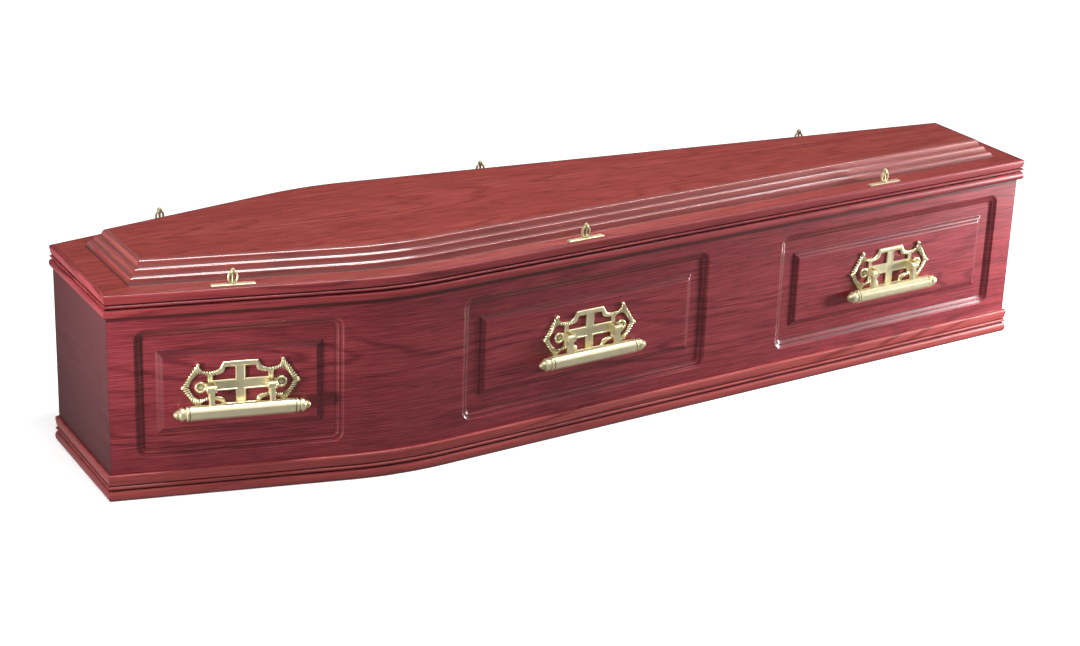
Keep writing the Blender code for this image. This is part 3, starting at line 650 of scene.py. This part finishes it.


# Each side is one grid: the outer face carries the panels as depth, the inner face is plain, and painted
# shade lies in the steps.
def makeSides():
    shape = sideShape(lidRim["overhang"], caseHeadX, caseFootX)
    total = shape["runOne"] + shape["bend"] + shape["runTwo"]
    spans = panelSpans(total)
    over = routed["fine"] * 2
    wide, tall = [], []
    steps = ((0.0, routed["outerStep"]), (routed["borderSide"], routed["innerStep"]))
    for start, end in spans:
        for offset, width in steps:
            wide.append((start + offset - over, start + offset + width + over))
            wide.append((end - offset - width - over, end - offset + over))
    for start, inward in ((routed["panelBottom"], 1), (routed["panelTop"], -1)):
        for offset, width in ((0.0, routed["outerStep"]), (routed["borderTop"], routed["innerStep"])):
            pair = sorted((start + inward * (offset - over), start + inward * (offset + width + over)))
            tall.append(tuple(pair))
    lengths = closeLines(wide, 0.0, total, routed["coarse"][0])
    tall.append((caseTop - routed["seam"][2], caseTop))
    heights = closeLines(tall, 0.0, caseTop, routed["coarse"][1])
    depth, dark = np.zeros((2, len(lengths), len(heights)))
    middleHeight = (routed["panelBottom"] + routed["panelTop"]) / 2
    halfHeight = (routed["panelTop"] - routed["panelBottom"]) / 2
    for start, end in spans:
        cut, stain = panelDepth(lengths[:, None] - (start + end) / 2, heights[None] - middleHeight,
                                (end - start) / 2, halfHeight)
        depth += cut
        dark += stain
    back = np.full((len(lengths), 2), routed["thickness"])
    setback = np.concatenate([depth, back], 1)
    # Painted shadow: a dark band along the top of the side, under the lid's overhang.
    dark += np.interp(caseTop - heights, routed["seam"], routed["seamStain"])
    groove = np.concatenate([dark, back * 0], 1)
    height = np.concatenate([heights, [caseTop, 0.0]])
    around = np.concatenate([heights, [caseTop + routed["thickness"], 2 * caseTop, 2 * caseTop + 0.02]])
    for name, sign in (("far", 1), ("near", -1)):
        points = sideGrid(lidRim["overhang"], caseHeadX, caseFootX, lengths, setback, height, sign)
        u, v = np.meshgrid(lengths, around, indexing="ij")
        uv = np.stack([u, v + grainStart[name]], -1)
        # The sides take the darker, bluer copy of the mahogany: painted shade.
        makePiece(f"side_board_{name}_routed", [gridShell(points, uv, groove=groove)], sideMahogany,
                  "coffin", [f"side_board_{name}"], crease=50.0)


makeSides()
print("sides made")


# The plain end boards and the base keep their solids. The end boards get a UV map of Y and Z, and a
# much darker copy of the mahogany that is painted shade.
def coverBoards():
    for name in ("head_board", "foot_board"):
        node = frame["nodes"][name]
        points = np.array([v.co for v in node.data.vertices])
        corner = np.zeros(len(node.data.loops), int)
        node.data.loops.foreach_get("vertex_index", corner)
        layer = node.data.uv_layers.new(name="grain")
        spots = points[corner][:, 1:3] + grainStart["endBoards"]
        layer.data.foreach_set("uv", spots.astype(np.float32).ravel())
        setFinish(node, dullMahogany)
    setFinish(frame["nodes"]["base_board"], bareBoard)


# One material in place of what the node came with.
def setFinish(node, material):
    node.data.materials.clear()
    node.data.materials.append(material)


coverBoards()
print("end boards and base finished")


# Handles

plate = {  # outer and inner: shares of the half length and height, from the crest to the end point
    "thickness": 0.003, "halfLength": 0.1000, "halfHeight": 0.0415, "crossPost": 0.0168, "crossArm": 0.0195,
    "crossEdge": 0.0007, "crossRim": 0.0022, "crossSunk": 0.0008, "posts": (0.0468, 0.0550),
    "outer": ((0.290, 1.000), (0.365, 0.700), (0.505, 0.632), (0.645, 0.700), (0.715, 1.030), (0.870, 0.470),
              (1.000, 0.000)),
    "inner": ((0.255, 0.795), (0.305, 0.540), (0.505, 0.435), (0.620, 0.520), (0.715, 0.535), (0.805, 0.350),
              (0.880, 0.000)),
    "spikePoint": 4, "ropePitch": 0.0078, "ropeDepth": 0.42, "ropeFrom": (0.034, 0.046), "swell": 1.10,
    "spacing": 0.0009, "endKnob": 0.0034, "endKnobIn": 0.0030, "spikeKnob": 0.0032, "spikeKnobIn": 0.0034,
}
lug = {
    "armOut": 0.051, "armWidth": 0.0098, "ear": 0.0030, "earRadius": 0.0068, "pivotOut": 0.0165,
    "earSunk": 0.001, "pinRadius": 0.0024, "pinSunk": (0.001, 0.002), "softEdge": 0.0005,
    "bossRadius": 0.0100, "bossHeight": 0.0070, "bossOverlap": 0.0015, "cupRadius": 0.0064,
    "cupDepth": 0.0024, "screwHigh": (0.0012, 0.0016),
}
bar = {  # turnings: share of the way along the point, and of the bar's thickness there
    "drop": 0.041, "length": 0.232, "depth": 0.0225, "height": 0.0240, "chamfer": 0.0066, "round": 0.0007,
    "point": 0.022, "collar": 0.0030, "groove": 0.0016, "grooveAt": (2.0, 1.85, 1.3, 1.15), "bevel": 0.0008,
    "armDepth": 0.0095, "armEdge": 0.0013, "armThin": 0.93, "neck": (0.010, 0.013), "flare": 0.003,
    "eyeRadius": 0.0063, "holeRadius": 0.0030, "eyeRim": 0.0007,
    "turnings": ((0.0, 0.95), (0.05, 0.76), (0.12, 0.74), (0.20, 0.88), (0.32, 0.93), (0.44, 0.88),
                 (0.52, 0.70), (0.58, 0.62), (0.70, 0.60), (0.82, 0.48), (0.93, 0.30), (1.0, 0.08)),
}


# A prism on an outline: each level is an inset, taken along the mitre of each corner, and a height.
def prismShell(outline, levels, relief):
    before, after = np.roll(outline, 1, axis=0), np.roll(outline, -1, axis=0)
    into = outline - before
    away = after - outline
    into = into / np.linalg.norm(into, axis=1, keepdims=True)
    away = away / np.linalg.norm(away, axis=1, keepdims=True)
    inwardOne = np.stack([-into[:, 1], into[:, 0]], -1)
    inwardTwo = np.stack([-away[:, 1], away[:, 0]], -1)
    mitre = inwardOne + inwardTwo
    mitre = mitre * 2 / (mitre ** 2).sum(1, keepdims=True)
    rings = [np.concatenate([outline + mitre * inset, np.full((len(outline), 1), height)], -1)
             for inset, height in levels]
    return gridShell(np.array(rings), relief=relief)


# A profile of radius and height turned round the third axis.
def turnedShell(profile, sides, relief=0.8):
    angle = np.linspace(0, 2 * math.pi, sides, endpoint=False)
    points = np.zeros((len(profile), sides, 3))
    points[..., 0] = profile[:, :1] * np.cos(angle)
    points[..., 1] = profile[:, :1] * np.sin(angle)
    points[..., 2] = profile[:, 1:]
    return gridShell(points, relief=relief)


# A copy of a skin with its axes in another order, then shifted.
def moved(shell, shift=(0, 0, 0), axes=None):
    points = shell["points"] if axes is None else shell["points"][:, axes]
    return {**shell, "points": points + np.array(shift)}


# A Catmull-Rom curve through points, which holds its first and last directions.
def smoothLine(points, steps):
    points = np.asarray(points, float)
    padded = np.concatenate([[2 * points[0] - points[1]], points, [2 * points[-1] - points[-2]]])
    t = np.linspace(0, 1, steps, endpoint=False)[:, None]
    parts = []
    for a, b, c, d in zip(padded[:-3], padded[1:-2], padded[2:-1], padded[3:]):
        parts.append(0.5 * (2 * b + (c - a) * t + (2 * a - 5 * b + 4 * c - d) * t ** 2
                            + (3 * b - a - 3 * c + d) * t ** 3))
    return np.concatenate([*parts, points[-1:]])


# The same line, closed, with points an even distance apart, and how far along it each lies.
def evenLine(points, spacing):
    points = np.concatenate([points, points[:1]])
    steps = np.concatenate([[0], np.cumsum(np.linalg.norm(np.diff(points, axis=0), axis=1))])
    at = np.linspace(0, steps[-1], int(steps[-1] / spacing), endpoint=False)
    return np.stack([np.interp(at, steps, points[:, k]) for k in range(points.shape[1])], -1), at


# The plate's outer and inner edges with equal counts of points, anticlockwise from the right-hand
# point: curves through the named points, broken at the spikes, and straight along the crest.
def bandEdges():
    size = np.array([plate["halfLength"], plate["halfHeight"]])
    edges = []
    for name in ("outer", "inner"):
        points = (np.array(plate[name]) * size)[::-1]
        turn = len(points) - 1 - plate["spikePoint"]
        lobe = smoothLine(points[:turn + 1], 12)[:-1]
        curve = smoothLine(points[turn:], 12)
        crest = np.linspace(curve[-1], curve[-1] * (-1, 1), 24)[1:-1]
        quarter = np.concatenate([lobe, curve])
        top = np.concatenate([quarter, crest, quarter[::-1] * (-1, 1)])
        edges.append(np.concatenate([top, top[::-1][1:-1] * (1, -1)]))
    return edges


# A flattened round section between the two edges: the middle plus half the width times cosine across and
# the thickness times sine outwards, swelling and narrowing like twisted cord in the lobes.
def bandShell():
    outer, inner = bandEdges()
    both, at = evenLine(np.concatenate([(outer + inner) / 2, outer, inner], 1), plate["spacing"])
    line, half = both[:, :2], (both[:, 2:4] - both[:, 4:]) / 2
    angle = np.linspace(0, 2 * math.pi, 14, endpoint=False)
    total = at[-1] + at[1]
    twist = 2 * math.pi * round(total / plate["ropePitch"]) * at[:, None] / total
    low, high = plate["ropeFrom"]
    depth = plate["ropeDepth"] * np.clip((np.abs(line[:, :1]) - low) / (high - low), 0, 1)
    swell = plate["swell"] * (1 - depth * (0.5 - 0.5 * np.cos(twist + angle[None])))
    across = np.sign(np.cos(angle)) * np.abs(np.cos(angle)) ** 0.8 * swell
    outward = plate["thickness"] * (0.5 + 0.72 * np.sin(angle)[None] * swell)
    points = np.zeros((len(line), len(angle), 3))
    points[..., :2] = line[:, None] + half[:, None] * across[..., None]
    points[..., 2] = np.maximum(outward, 0.0001)
    relief = np.clip(1 - 2.6 * (plate["swell"] - swell) / plate["swell"] + 0.3 * (np.sin(angle) - 1), 0, 1)
    return ringShell(points, relief)


# A cross whose level arms end in upright posts, anticlockwise.
def crossOutline():
    post, arm = plate["crossPost"] / 2, plate["crossArm"] / 2
    size = np.array([plate["halfLength"], plate["halfHeight"]])
    top = ((np.array(plate["outer"]) + plate["inner"]) / 2 * size)[[0, 2], 1]
    near, away = plate["posts"]
    quarter = np.array([(away, top[1]), (near, top[1]), (near, arm), (post, arm), (post, top[0])])
    half = np.concatenate([quarter, quarter[::-1] * (-1, 1)])
    return np.concatenate([half, half[::-1] * (1, -1)])


# A turned boss: a waist, a rolled rim, and a cup with a screw head in it.
def bossShell():
    high, radius, cup = lug["bossHeight"], lug["bossRadius"], lug["cupRadius"]
    floor = high - lug["cupDepth"]
    waist = [(radius * 0.86, 0.0), (radius * 0.86, high * 0.45)]
    rim = arc((radius * 0.82, high * 0.75), (radius * 0.18, high * 0.25), -60, 160, 10)
    sunk = [(cup * 0.92, floor), (cup * 0.55, floor), (cup * 0.50, floor + lug["screwHigh"][0]),
            (cup * 0.10, floor + lug["screwHigh"][1])]
    relief = np.array([0.9] * (len(waist) + len(rim)) + [0.15, 0.15, 0.6, 0.6])[:, None]
    return turnedShell(np.concatenate([waist, rim, sunk]), 28, relief)


# The two lugs: on each side a pair of round-ended ears, the pin between them and a boss beyond them.
def lugShells():
    reach = lug["armOut"] + lug["armWidth"] / 2 + plan["fit"]
    inner = lug["armOut"] - lug["armWidth"] / 2 - plan["fit"] - lug["ear"]
    earSide = np.concatenate([[(lug["earSunk"], -lug["earRadius"])],
                              arc((lug["pivotOut"], 0), (lug["earRadius"],) * 2, -90, 90, 12),
                              [(lug["earSunk"], lug["earRadius"])]])
    soft = lug["softEdge"]
    earLevels = [(soft, 0), (0, soft), (0, lug["ear"] - soft), (soft, lug["ear"])]
    pinLine = np.array([(lug["pinRadius"], inner + lug["pinSunk"][0]),
                        (lug["pinRadius"], reach + lug["pinSunk"][1])])
    bossOut = reach + lug["ear"] + lug["bossRadius"] - lug["bossOverlap"]
    shells = []
    for along in (1, -1):
        for start in (inner, reach):
            ear = moved(prismShell(earSide, earLevels, 0.8), axes=[2, 1, 0])
            ear["points"] = (ear["points"] + (start, 0, 0)) * (along, 1, 1)
            shells.append(ear)
        pin = moved(turnedShell(pinLine, 14), axes=[2, 1, 0])
        pin["points"] = pin["points"] * (along, 1, 1) + (0, 0, lug["pivotOut"])
        shells += [pin, moved(bossShell(), (along * bossOut, 0, 0))]
    return shells


# Small balls on the plate's two end points and on its four spikes.
def knobShells():
    turn = np.linspace(0.08, math.pi - 0.08, 9)
    ball = np.stack([np.sin(turn), -np.cos(turn)], -1)
    size = np.array([plate["halfLength"], plate["halfHeight"]])
    spike = plate["outer"][plate["spikePoint"]] * size - (0, plate["spikeKnobIn"])
    endX = plate["halfLength"] - plate["endKnobIn"]
    spots = [(right * endX, 0.0, plate["endKnob"]) for right in (1, -1)]
    spots += [(right * spike[0], up * spike[1], plate["spikeKnob"]) for right in (1, -1) for up in (1, -1)]
    return [moved(turnedShell(ball * radius, 12, 0.9), (x, y, plate["thickness"] * 0.7 + radius * 0.2))
            for x, y, radius in spots]


# One back plate, with x along the side, y up and z out from the side, before it is placed.
def plateShells():
    edge, rim, deep = plate["crossEdge"], plate["crossRim"], plate["thickness"]
    levels = [(0, 0), (0, deep - edge), (edge, deep), (rim, deep), (rim + edge, deep - plate["crossSunk"])]
    relief = np.array([[0.5], [0.8], [1], [1], [0.62]])
    return [bandShell(), prismShell(crossOutline(), levels, relief), *lugShells(), *knobShells()]


# The bar itself, hung below the pivot: an octagon with small rounds, scaled along it by the grooves of
# the collars and the turnings of the points.
def rodShell():
    halfDepth, halfHeight, cut = bar["depth"] / 2, bar["height"] / 2, bar["chamfer"]
    corner = np.array([(halfDepth, halfHeight - cut), (halfDepth - cut, halfHeight)])
    corner = np.concatenate([corner, corner[::-1] * (-1, 1)])
    octagon = np.concatenate([corner, corner[::-1] * (1, -1)])
    before, after = np.roll(octagon, 1, axis=0) - octagon, np.roll(octagon, -1, axis=0) - octagon
    before = before / np.linalg.norm(before, axis=1, keepdims=True) * bar["round"]
    after = after / np.linalg.norm(after, axis=1, keepdims=True) * bar["round"]
    section = np.stack([octagon + before, octagon + (before + after) * 0.32, octagon + after], 1)
    section = section.reshape(-1, 2)
    shoulder = bar["length"] / 2 - bar["point"]
    groove = 1 - bar["groove"] * 2 / bar["depth"]
    collar = [(shoulder - bar["collar"] * back, size)
              for back, size in zip(bar["grooveAt"], (1.0, groove, groove, 1.0))]
    turnings = [(shoulder + bar["point"] * share, size) for share, size in bar["turnings"]]
    half = np.array([*collar, (shoulder - bar["bevel"], 1.0), *turnings])
    x, scale = np.concatenate([half[::-1] * (-1, 1), [(0.0, 1.0)], half]).T
    points = np.zeros((len(x), len(section), 3))
    points[..., 0] = x[:, None]
    points[..., 1] = section[None, :, 1] * scale[:, None] - bar["drop"]
    points[..., 2] = section[None, :, 0] * scale[:, None]
    relief = np.clip((scale[:, None] - 0.5) * 2.0, 0.25, 1.0)
    relief = np.where(np.isclose(scale[:, None], groove), 0.1, relief)
    return gridShell(points, relief=relief)


# The two arms: a bevelled strip from the eye down into the bar, thinner below its neck, and the ring of
# the eye round the pin.
def armShells():
    outer, hole, rim = bar["eyeRadius"], bar["holeRadius"], bar["eyeRim"]
    wide, deep, cut = lug["armWidth"] / 2, bar["armDepth"] / 2, bar["armEdge"]
    neckTop, neckFoot = bar["neck"]
    barTop = bar["height"] / 2 - bar["drop"]
    heights = np.array([-(hole + outer) / 2, -neckTop, -neckFoot, barTop + bar["flare"], -bar["drop"]])
    grow = np.array([1.0, 1.0, bar["armThin"], bar["armThin"], 1.0])[:, None]
    angle = np.linspace(0, 2 * math.pi, 24, endpoint=False)[:, None]
    armSection = np.array([(wide, -deep), (wide, deep - cut), (wide - cut, deep), (cut - wide, deep),
                           (-wide, deep - cut), (-wide, -deep)])
    eye = np.array([(hole, rim - wide), (outer - rim, -wide), (outer, rim - wide), (outer, wide - rim),
                    (outer - rim, wide), (hole, wide - rim)])
    shells = []
    for along in (1, -1):
        arm = np.zeros((len(heights), len(armSection), 3))
        arm[..., 0] = armSection[:, 0] * grow + along * lug["armOut"]
        arm[..., 1] = heights[:, None]
        arm[..., 2] = armSection[:, 1] * grow
        shells.append(gridShell(arm, relief=0.9))
        ring = np.zeros((len(angle), len(eye), 3))
        ring[..., 0] = eye[:, 1] + along * lug["armOut"]
        ring[..., 1] = np.cos(angle) * eye[:, 0]
        ring[..., 2] = np.sin(angle) * eye[:, 0]
        shells.append(ringShell(ring, 0.7))
    return shells


# Copies of skins with x along the side, y up and z out, set at a place that faces out.
def placed(shells, place, out):
    across = np.array([-out[1], out[0], 0.0])
    turn = np.stack([across, (0, 0, 1), out])
    return [{**shell, "points": shell["points"] @ turn + place} for shell in shells]


# Where each handle's plate meets its panel's field, and the way out there.
def handlePlaces():
    joints = {joint["child"]: joint for joint in frame["joints"]}
    places = {}
    for name, joint in joints.items():
        axis = np.array(joint["axis"])
        out = np.cross((0, 0, 1), axis)
        pivot = np.array(joint["pos_m"])
        places[name.replace("handle_bar_", "")] = (pivot - out * lug["pivotOut"], out)
    return places


# Every plate and bar is a copy of one, set at its own panel. A bar has its origin on the pivot.
def makeHandles():
    plates, bars = plateShells(), [rodShell(), *armShells()]
    for label, (back, out) in handlePlaces().items():
        makePiece(f"handle_plate_{label}_cast", placed(plates, back, out), brass, "coffin",
                  [f"handle_plate_{label}"], crease=38.0)
        makePiece(f"handle_bar_{label}_cast", placed(bars, back + out * lug["pivotOut"], out), brass,
                  f"handle_bar_{label}", [f"handle_bar_{label}"], crease=28.0)


makeHandles()
print("handles made")


# Wreath holders

holder = {
    "length": 0.074, "width": 0.011, "thick": 0.0025, "edge": 0.0009, "shank": 0.0020, "shankDepth": 0.061,
    "height": 0.0300, "collar": 0.0056, "collarRound": (0.0008, 0.0009), "stem": 0.0026, "cap": 0.0046,
    "capRise": 0.0065, "wingIn": 0.0022, "wingOut": 0.0096, "wingFrom": 0.0024, "wingDrop": 0.0085,
    "wingBand": 0.0021,
}


# Turned thumb screw from the foot up: shank, rounded collar, waisted stem and domed cap.
def screwShell(seat, top):
    shank, collar, stem, cap = holder["shank"], holder["collar"], holder["stem"], holder["cap"]
    return turnedShell(np.concatenate([
        [(shank, -holder["shankDepth"]), (shank, seat), (collar - 0.0005, seat)],
        arc((collar - holder["collarRound"][0], seat + 0.0012), holder["collarRound"], -60, 90, 6),
        smoothLine([(collar * 0.62, seat + 0.0024), (stem * 0.95, seat + 0.0052),
                    (stem * 0.8, top - 0.0125), (stem, top - 0.0095)], 5),
        [(cap * 0.9, top - 0.0088), (cap, top - 0.0078)],
        arc((0.0, top - holder["capRise"]), (cap, holder["capRise"]), 8, 86, 8),
    ]), 20, 0.15)


# A wing on each side of the screw: a round wire along half an ellipse.
def wingShells(seat, top):
    low, high = seat + holder["wingFrom"], top - holder["wingDrop"]
    middle, half = (low + high) / 2, (high - low) / 2
    angle = np.linspace(0, 2 * math.pi, 10, endpoint=False)
    shells = []
    for along in (1, -1):
        reach = holder["wingOut"] - holder["wingIn"] - holder["wingBand"]
        path = arc((along * holder["wingIn"], middle), (along * reach, half), -88, 88, 20)
        ahead = np.gradient(path, axis=0)
        ahead = ahead / np.linalg.norm(ahead, axis=1, keepdims=True)
        beside = np.stack([-ahead[:, 1], ahead[:, 0]], -1)
        loop = np.zeros((len(path), len(angle), 3))
        across = holder["wingBand"] * np.cos(angle)
        loop[..., 0] = path[:, :1] + beside[:, :1] * across
        loop[..., 2] = path[:, 1:] + beside[:, 1:] * across
        loop[..., 1] = holder["wingBand"] * 1.1 * np.sin(angle)
        shells.append(gridShell(loop, relief=0.32))
    return shells


# A bevelled flat plate and a screw through it at each spot, square to that side's run.
def makeHolders():
    halfLength, halfWidth = holder["length"] / 2, holder["width"] / 2
    outline = np.array([(halfLength, halfWidth), (-halfLength, halfWidth), (-halfLength, -halfWidth),
                        (halfLength, -halfWidth)])
    flat = prismShell(outline, [(0, 0), (0, holder["thick"] - holder["edge"]),
                                (holder["edge"], holder["thick"])], 0.8)
    seat = holder["thick"] + plan["fit"]
    screw = [screwShell(seat, holder["height"]), *wingShells(seat, holder["height"])]
    for name in ("near", "far"):
        for spot in ("head", "middle", "foot"):
            label = f"{name}_{spot}"
            low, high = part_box(f"wreath_holder_screw_{label}")
            centre = np.array([(low.x + high.x) / 2, (low.y + high.y) / 2, lidTop + plan["fit"]])
            run = sideRuns(0)[0 if spot == "head" else 1]
            out = np.array([run[2][0], run[2][1] * (1 if name == "far" else -1), 0.0])
            across = np.array([-out[1], out[0], 0.0])
            turn = np.stack([across, out, (0, 0, 1)])
            for kind, shells in (("plate", [flat]), ("screw", screw)):
                turned = [{**shell, "points": shell["points"] @ turn + centre} for shell in shells]
                makePiece(f"wreath_holder_{kind}_{label}_cast", turned, brass, "coffin",
                          [f"wreath_holder_{kind}_{label}"])


makeHolders()
print("wreath holders made")


# Floor, light and camera

studio = {  # sky stops: 0 straight down, 0.5 the horizon, 1 straight up
    "floorColour": (0.94, 0.94, 0.94), "floorGlow": 0.60, "floorSize": 40.0,
    "sky": ((0.0, (0.34, 0.33, 0.32)), (0.49, (0.26, 0.25, 0.25)), (0.51, (0.08, 0.08, 0.08)),
            (0.66, (0.11, 0.11, 0.11)), (0.82, (0.52, 0.52, 0.52)), (1.0, (0.62, 0.62, 0.62))),
    "farSky": ((0.0, (0.34, 0.33, 0.32)), (0.49, (0.26, 0.25, 0.25)), (0.51, (0.10, 0.10, 0.10)),
               (0.64, (0.11, 0.11, 0.11)), (0.74, (0.20, 0.20, 0.20)), (1.0, (0.5, 0.5, 0.5))),
    "seen": (1.0, 1.0, 1.0),
}
lamps = {  # place, aim, width, height, spread in degrees, watts
    "key": ((-0.25, -0.50, 2.4), (-0.25, 0.0, 0.3), 1.6, 0.22, 180.0, 38.0),
    "strip": ((1.6, -0.60, 2.4), (0.9, 0.0, 0.3), 2.2, 0.07, 180.0, 14.0),
    "left": ((-2.3, -0.50, 0.26), (-0.92, -0.14, 0.42), 0.3, 0.24, 44.0, 2.8),
    "right": ((2.0, -0.65, 0.30), (0.95, -0.1, 0.2), 0.35, 0.24, 180.0, 50.0),
}


# A pale floor that lights nothing else, under a sky that is dark low down and brighter high up. The sky
# behind the coffin is a little dimmer, and the camera sees plain white in its place.
def makeStudio():
    bpy.ops.mesh.primitive_plane_add(size=studio["floorSize"])
    ground = bpy.context.object
    ground.name = "floor"
    ground.visible_diffuse = False
    ground.visible_glossy = False
    made = bpy.data.materials.new("floorPaper")
    paper = finishMaker(made)
    place = paper.add("ShaderNodeTexCoord", output=3)
    grey = paper.noise(place, 3.0)
    paper.feedShader({"Base Color": studio["floorColour"], "Roughness": 0.85 + grey * 0.1,
                      "Specular IOR Level": 0.1, "Emission Color": (1.0, 1.0, 1.0),
                      "Emission Strength": studio["floorGlow"]})
    ground.data.materials.append(made)
    world = bpy.data.worlds.new("studio")
    bpy.context.scene.world = world
    sky = finishMaker(world)
    direction = sky.add("ShaderNodeTexCoord", output=0)
    height = sky.add("ShaderNodeSeparateXYZ", {}, {"Vector": direction}, 2)
    depth = sky.add("ShaderNodeSeparateXYZ", {}, {"Vector": direction}, 1)
    shade = sky.add("ShaderNodeValToRGB", {"stops": studio["sky"]}, {"Fac": height * 0.5 + 0.5})
    far = sky.add("ShaderNodeValToRGB", {"stops": studio["farSky"]}, {"Fac": height * 0.5 + 0.5})
    lit = sky.mixColours(depth.between(-0.15, 0.45), shade, far)
    seen = sky.add("ShaderNodeLightPath", output=0)
    feed(sky.tree, sky.tree.nodes["Background"].inputs["Color"], sky.mixColours(seen, lit, studio["seen"]))


# Area lamps, each turned from its place towards its aim.
def makeLamps():
    for name, (place, aim, wide, high, spread, watts) in lamps.items():
        light = bpy.data.lights.new(name, "AREA")
        light.shape = "RECTANGLE"
        light.size, light.size_y, light.energy = wide, high, watts
        light.spread = math.radians(spread)
        lamp = bpy.data.objects.new(name, light)
        lamp.location = place
        lamp.rotation_euler = (Vector(aim) - Vector(place)).to_track_quat("-Z", "Y").to_euler()
        lamp.visible_camera = False
        bpy.context.scene.collection.objects.link(lamp)


view = {  # read off the photograph's corners: place in metres, turns in radians, focal length in pixels
    "place": (-2.0812, -3.5052, 1.6884), "yaw": 0.5213, "pitch": 0.3677, "roll": 0.0376,
    "focal": 2303.7, "pixelsWide": 1080, "filmWidth": 36.0,
}


# Ahead from yaw and pitch, then right and up turned about it by the roll.
def makeCamera():
    yaw, pitch, roll = view["yaw"], view["pitch"], view["roll"]
    ahead = np.array([math.sin(yaw) * math.cos(pitch), math.cos(yaw) * math.cos(pitch), -math.sin(pitch)])
    right = np.array([math.cos(yaw), -math.sin(yaw), 0.0])
    up = np.cross(right, ahead)
    rolledRight = right * math.cos(roll) + up * math.sin(roll)
    rolledUp = up * math.cos(roll) - right * math.sin(roll)
    lens = bpy.data.cameras.new("photograph")
    lens.sensor_width = view["filmWidth"]
    lens.lens = view["filmWidth"] * view["focal"] / view["pixelsWide"]
    camera = bpy.data.objects.new("photograph", lens)
    turn = Matrix(np.stack([rolledRight, rolledUp, -ahead], -1).tolist()).to_4x4()
    camera.matrix_world = Matrix.Translation(view["place"]) @ turn
    bpy.context.scene.collection.objects.link(camera)
    bpy.context.scene.camera = camera


makeStudio()
makeLamps()
makeCamera()
bpy.context.scene.view_settings.view_transform = "Standard"
print("studio made")
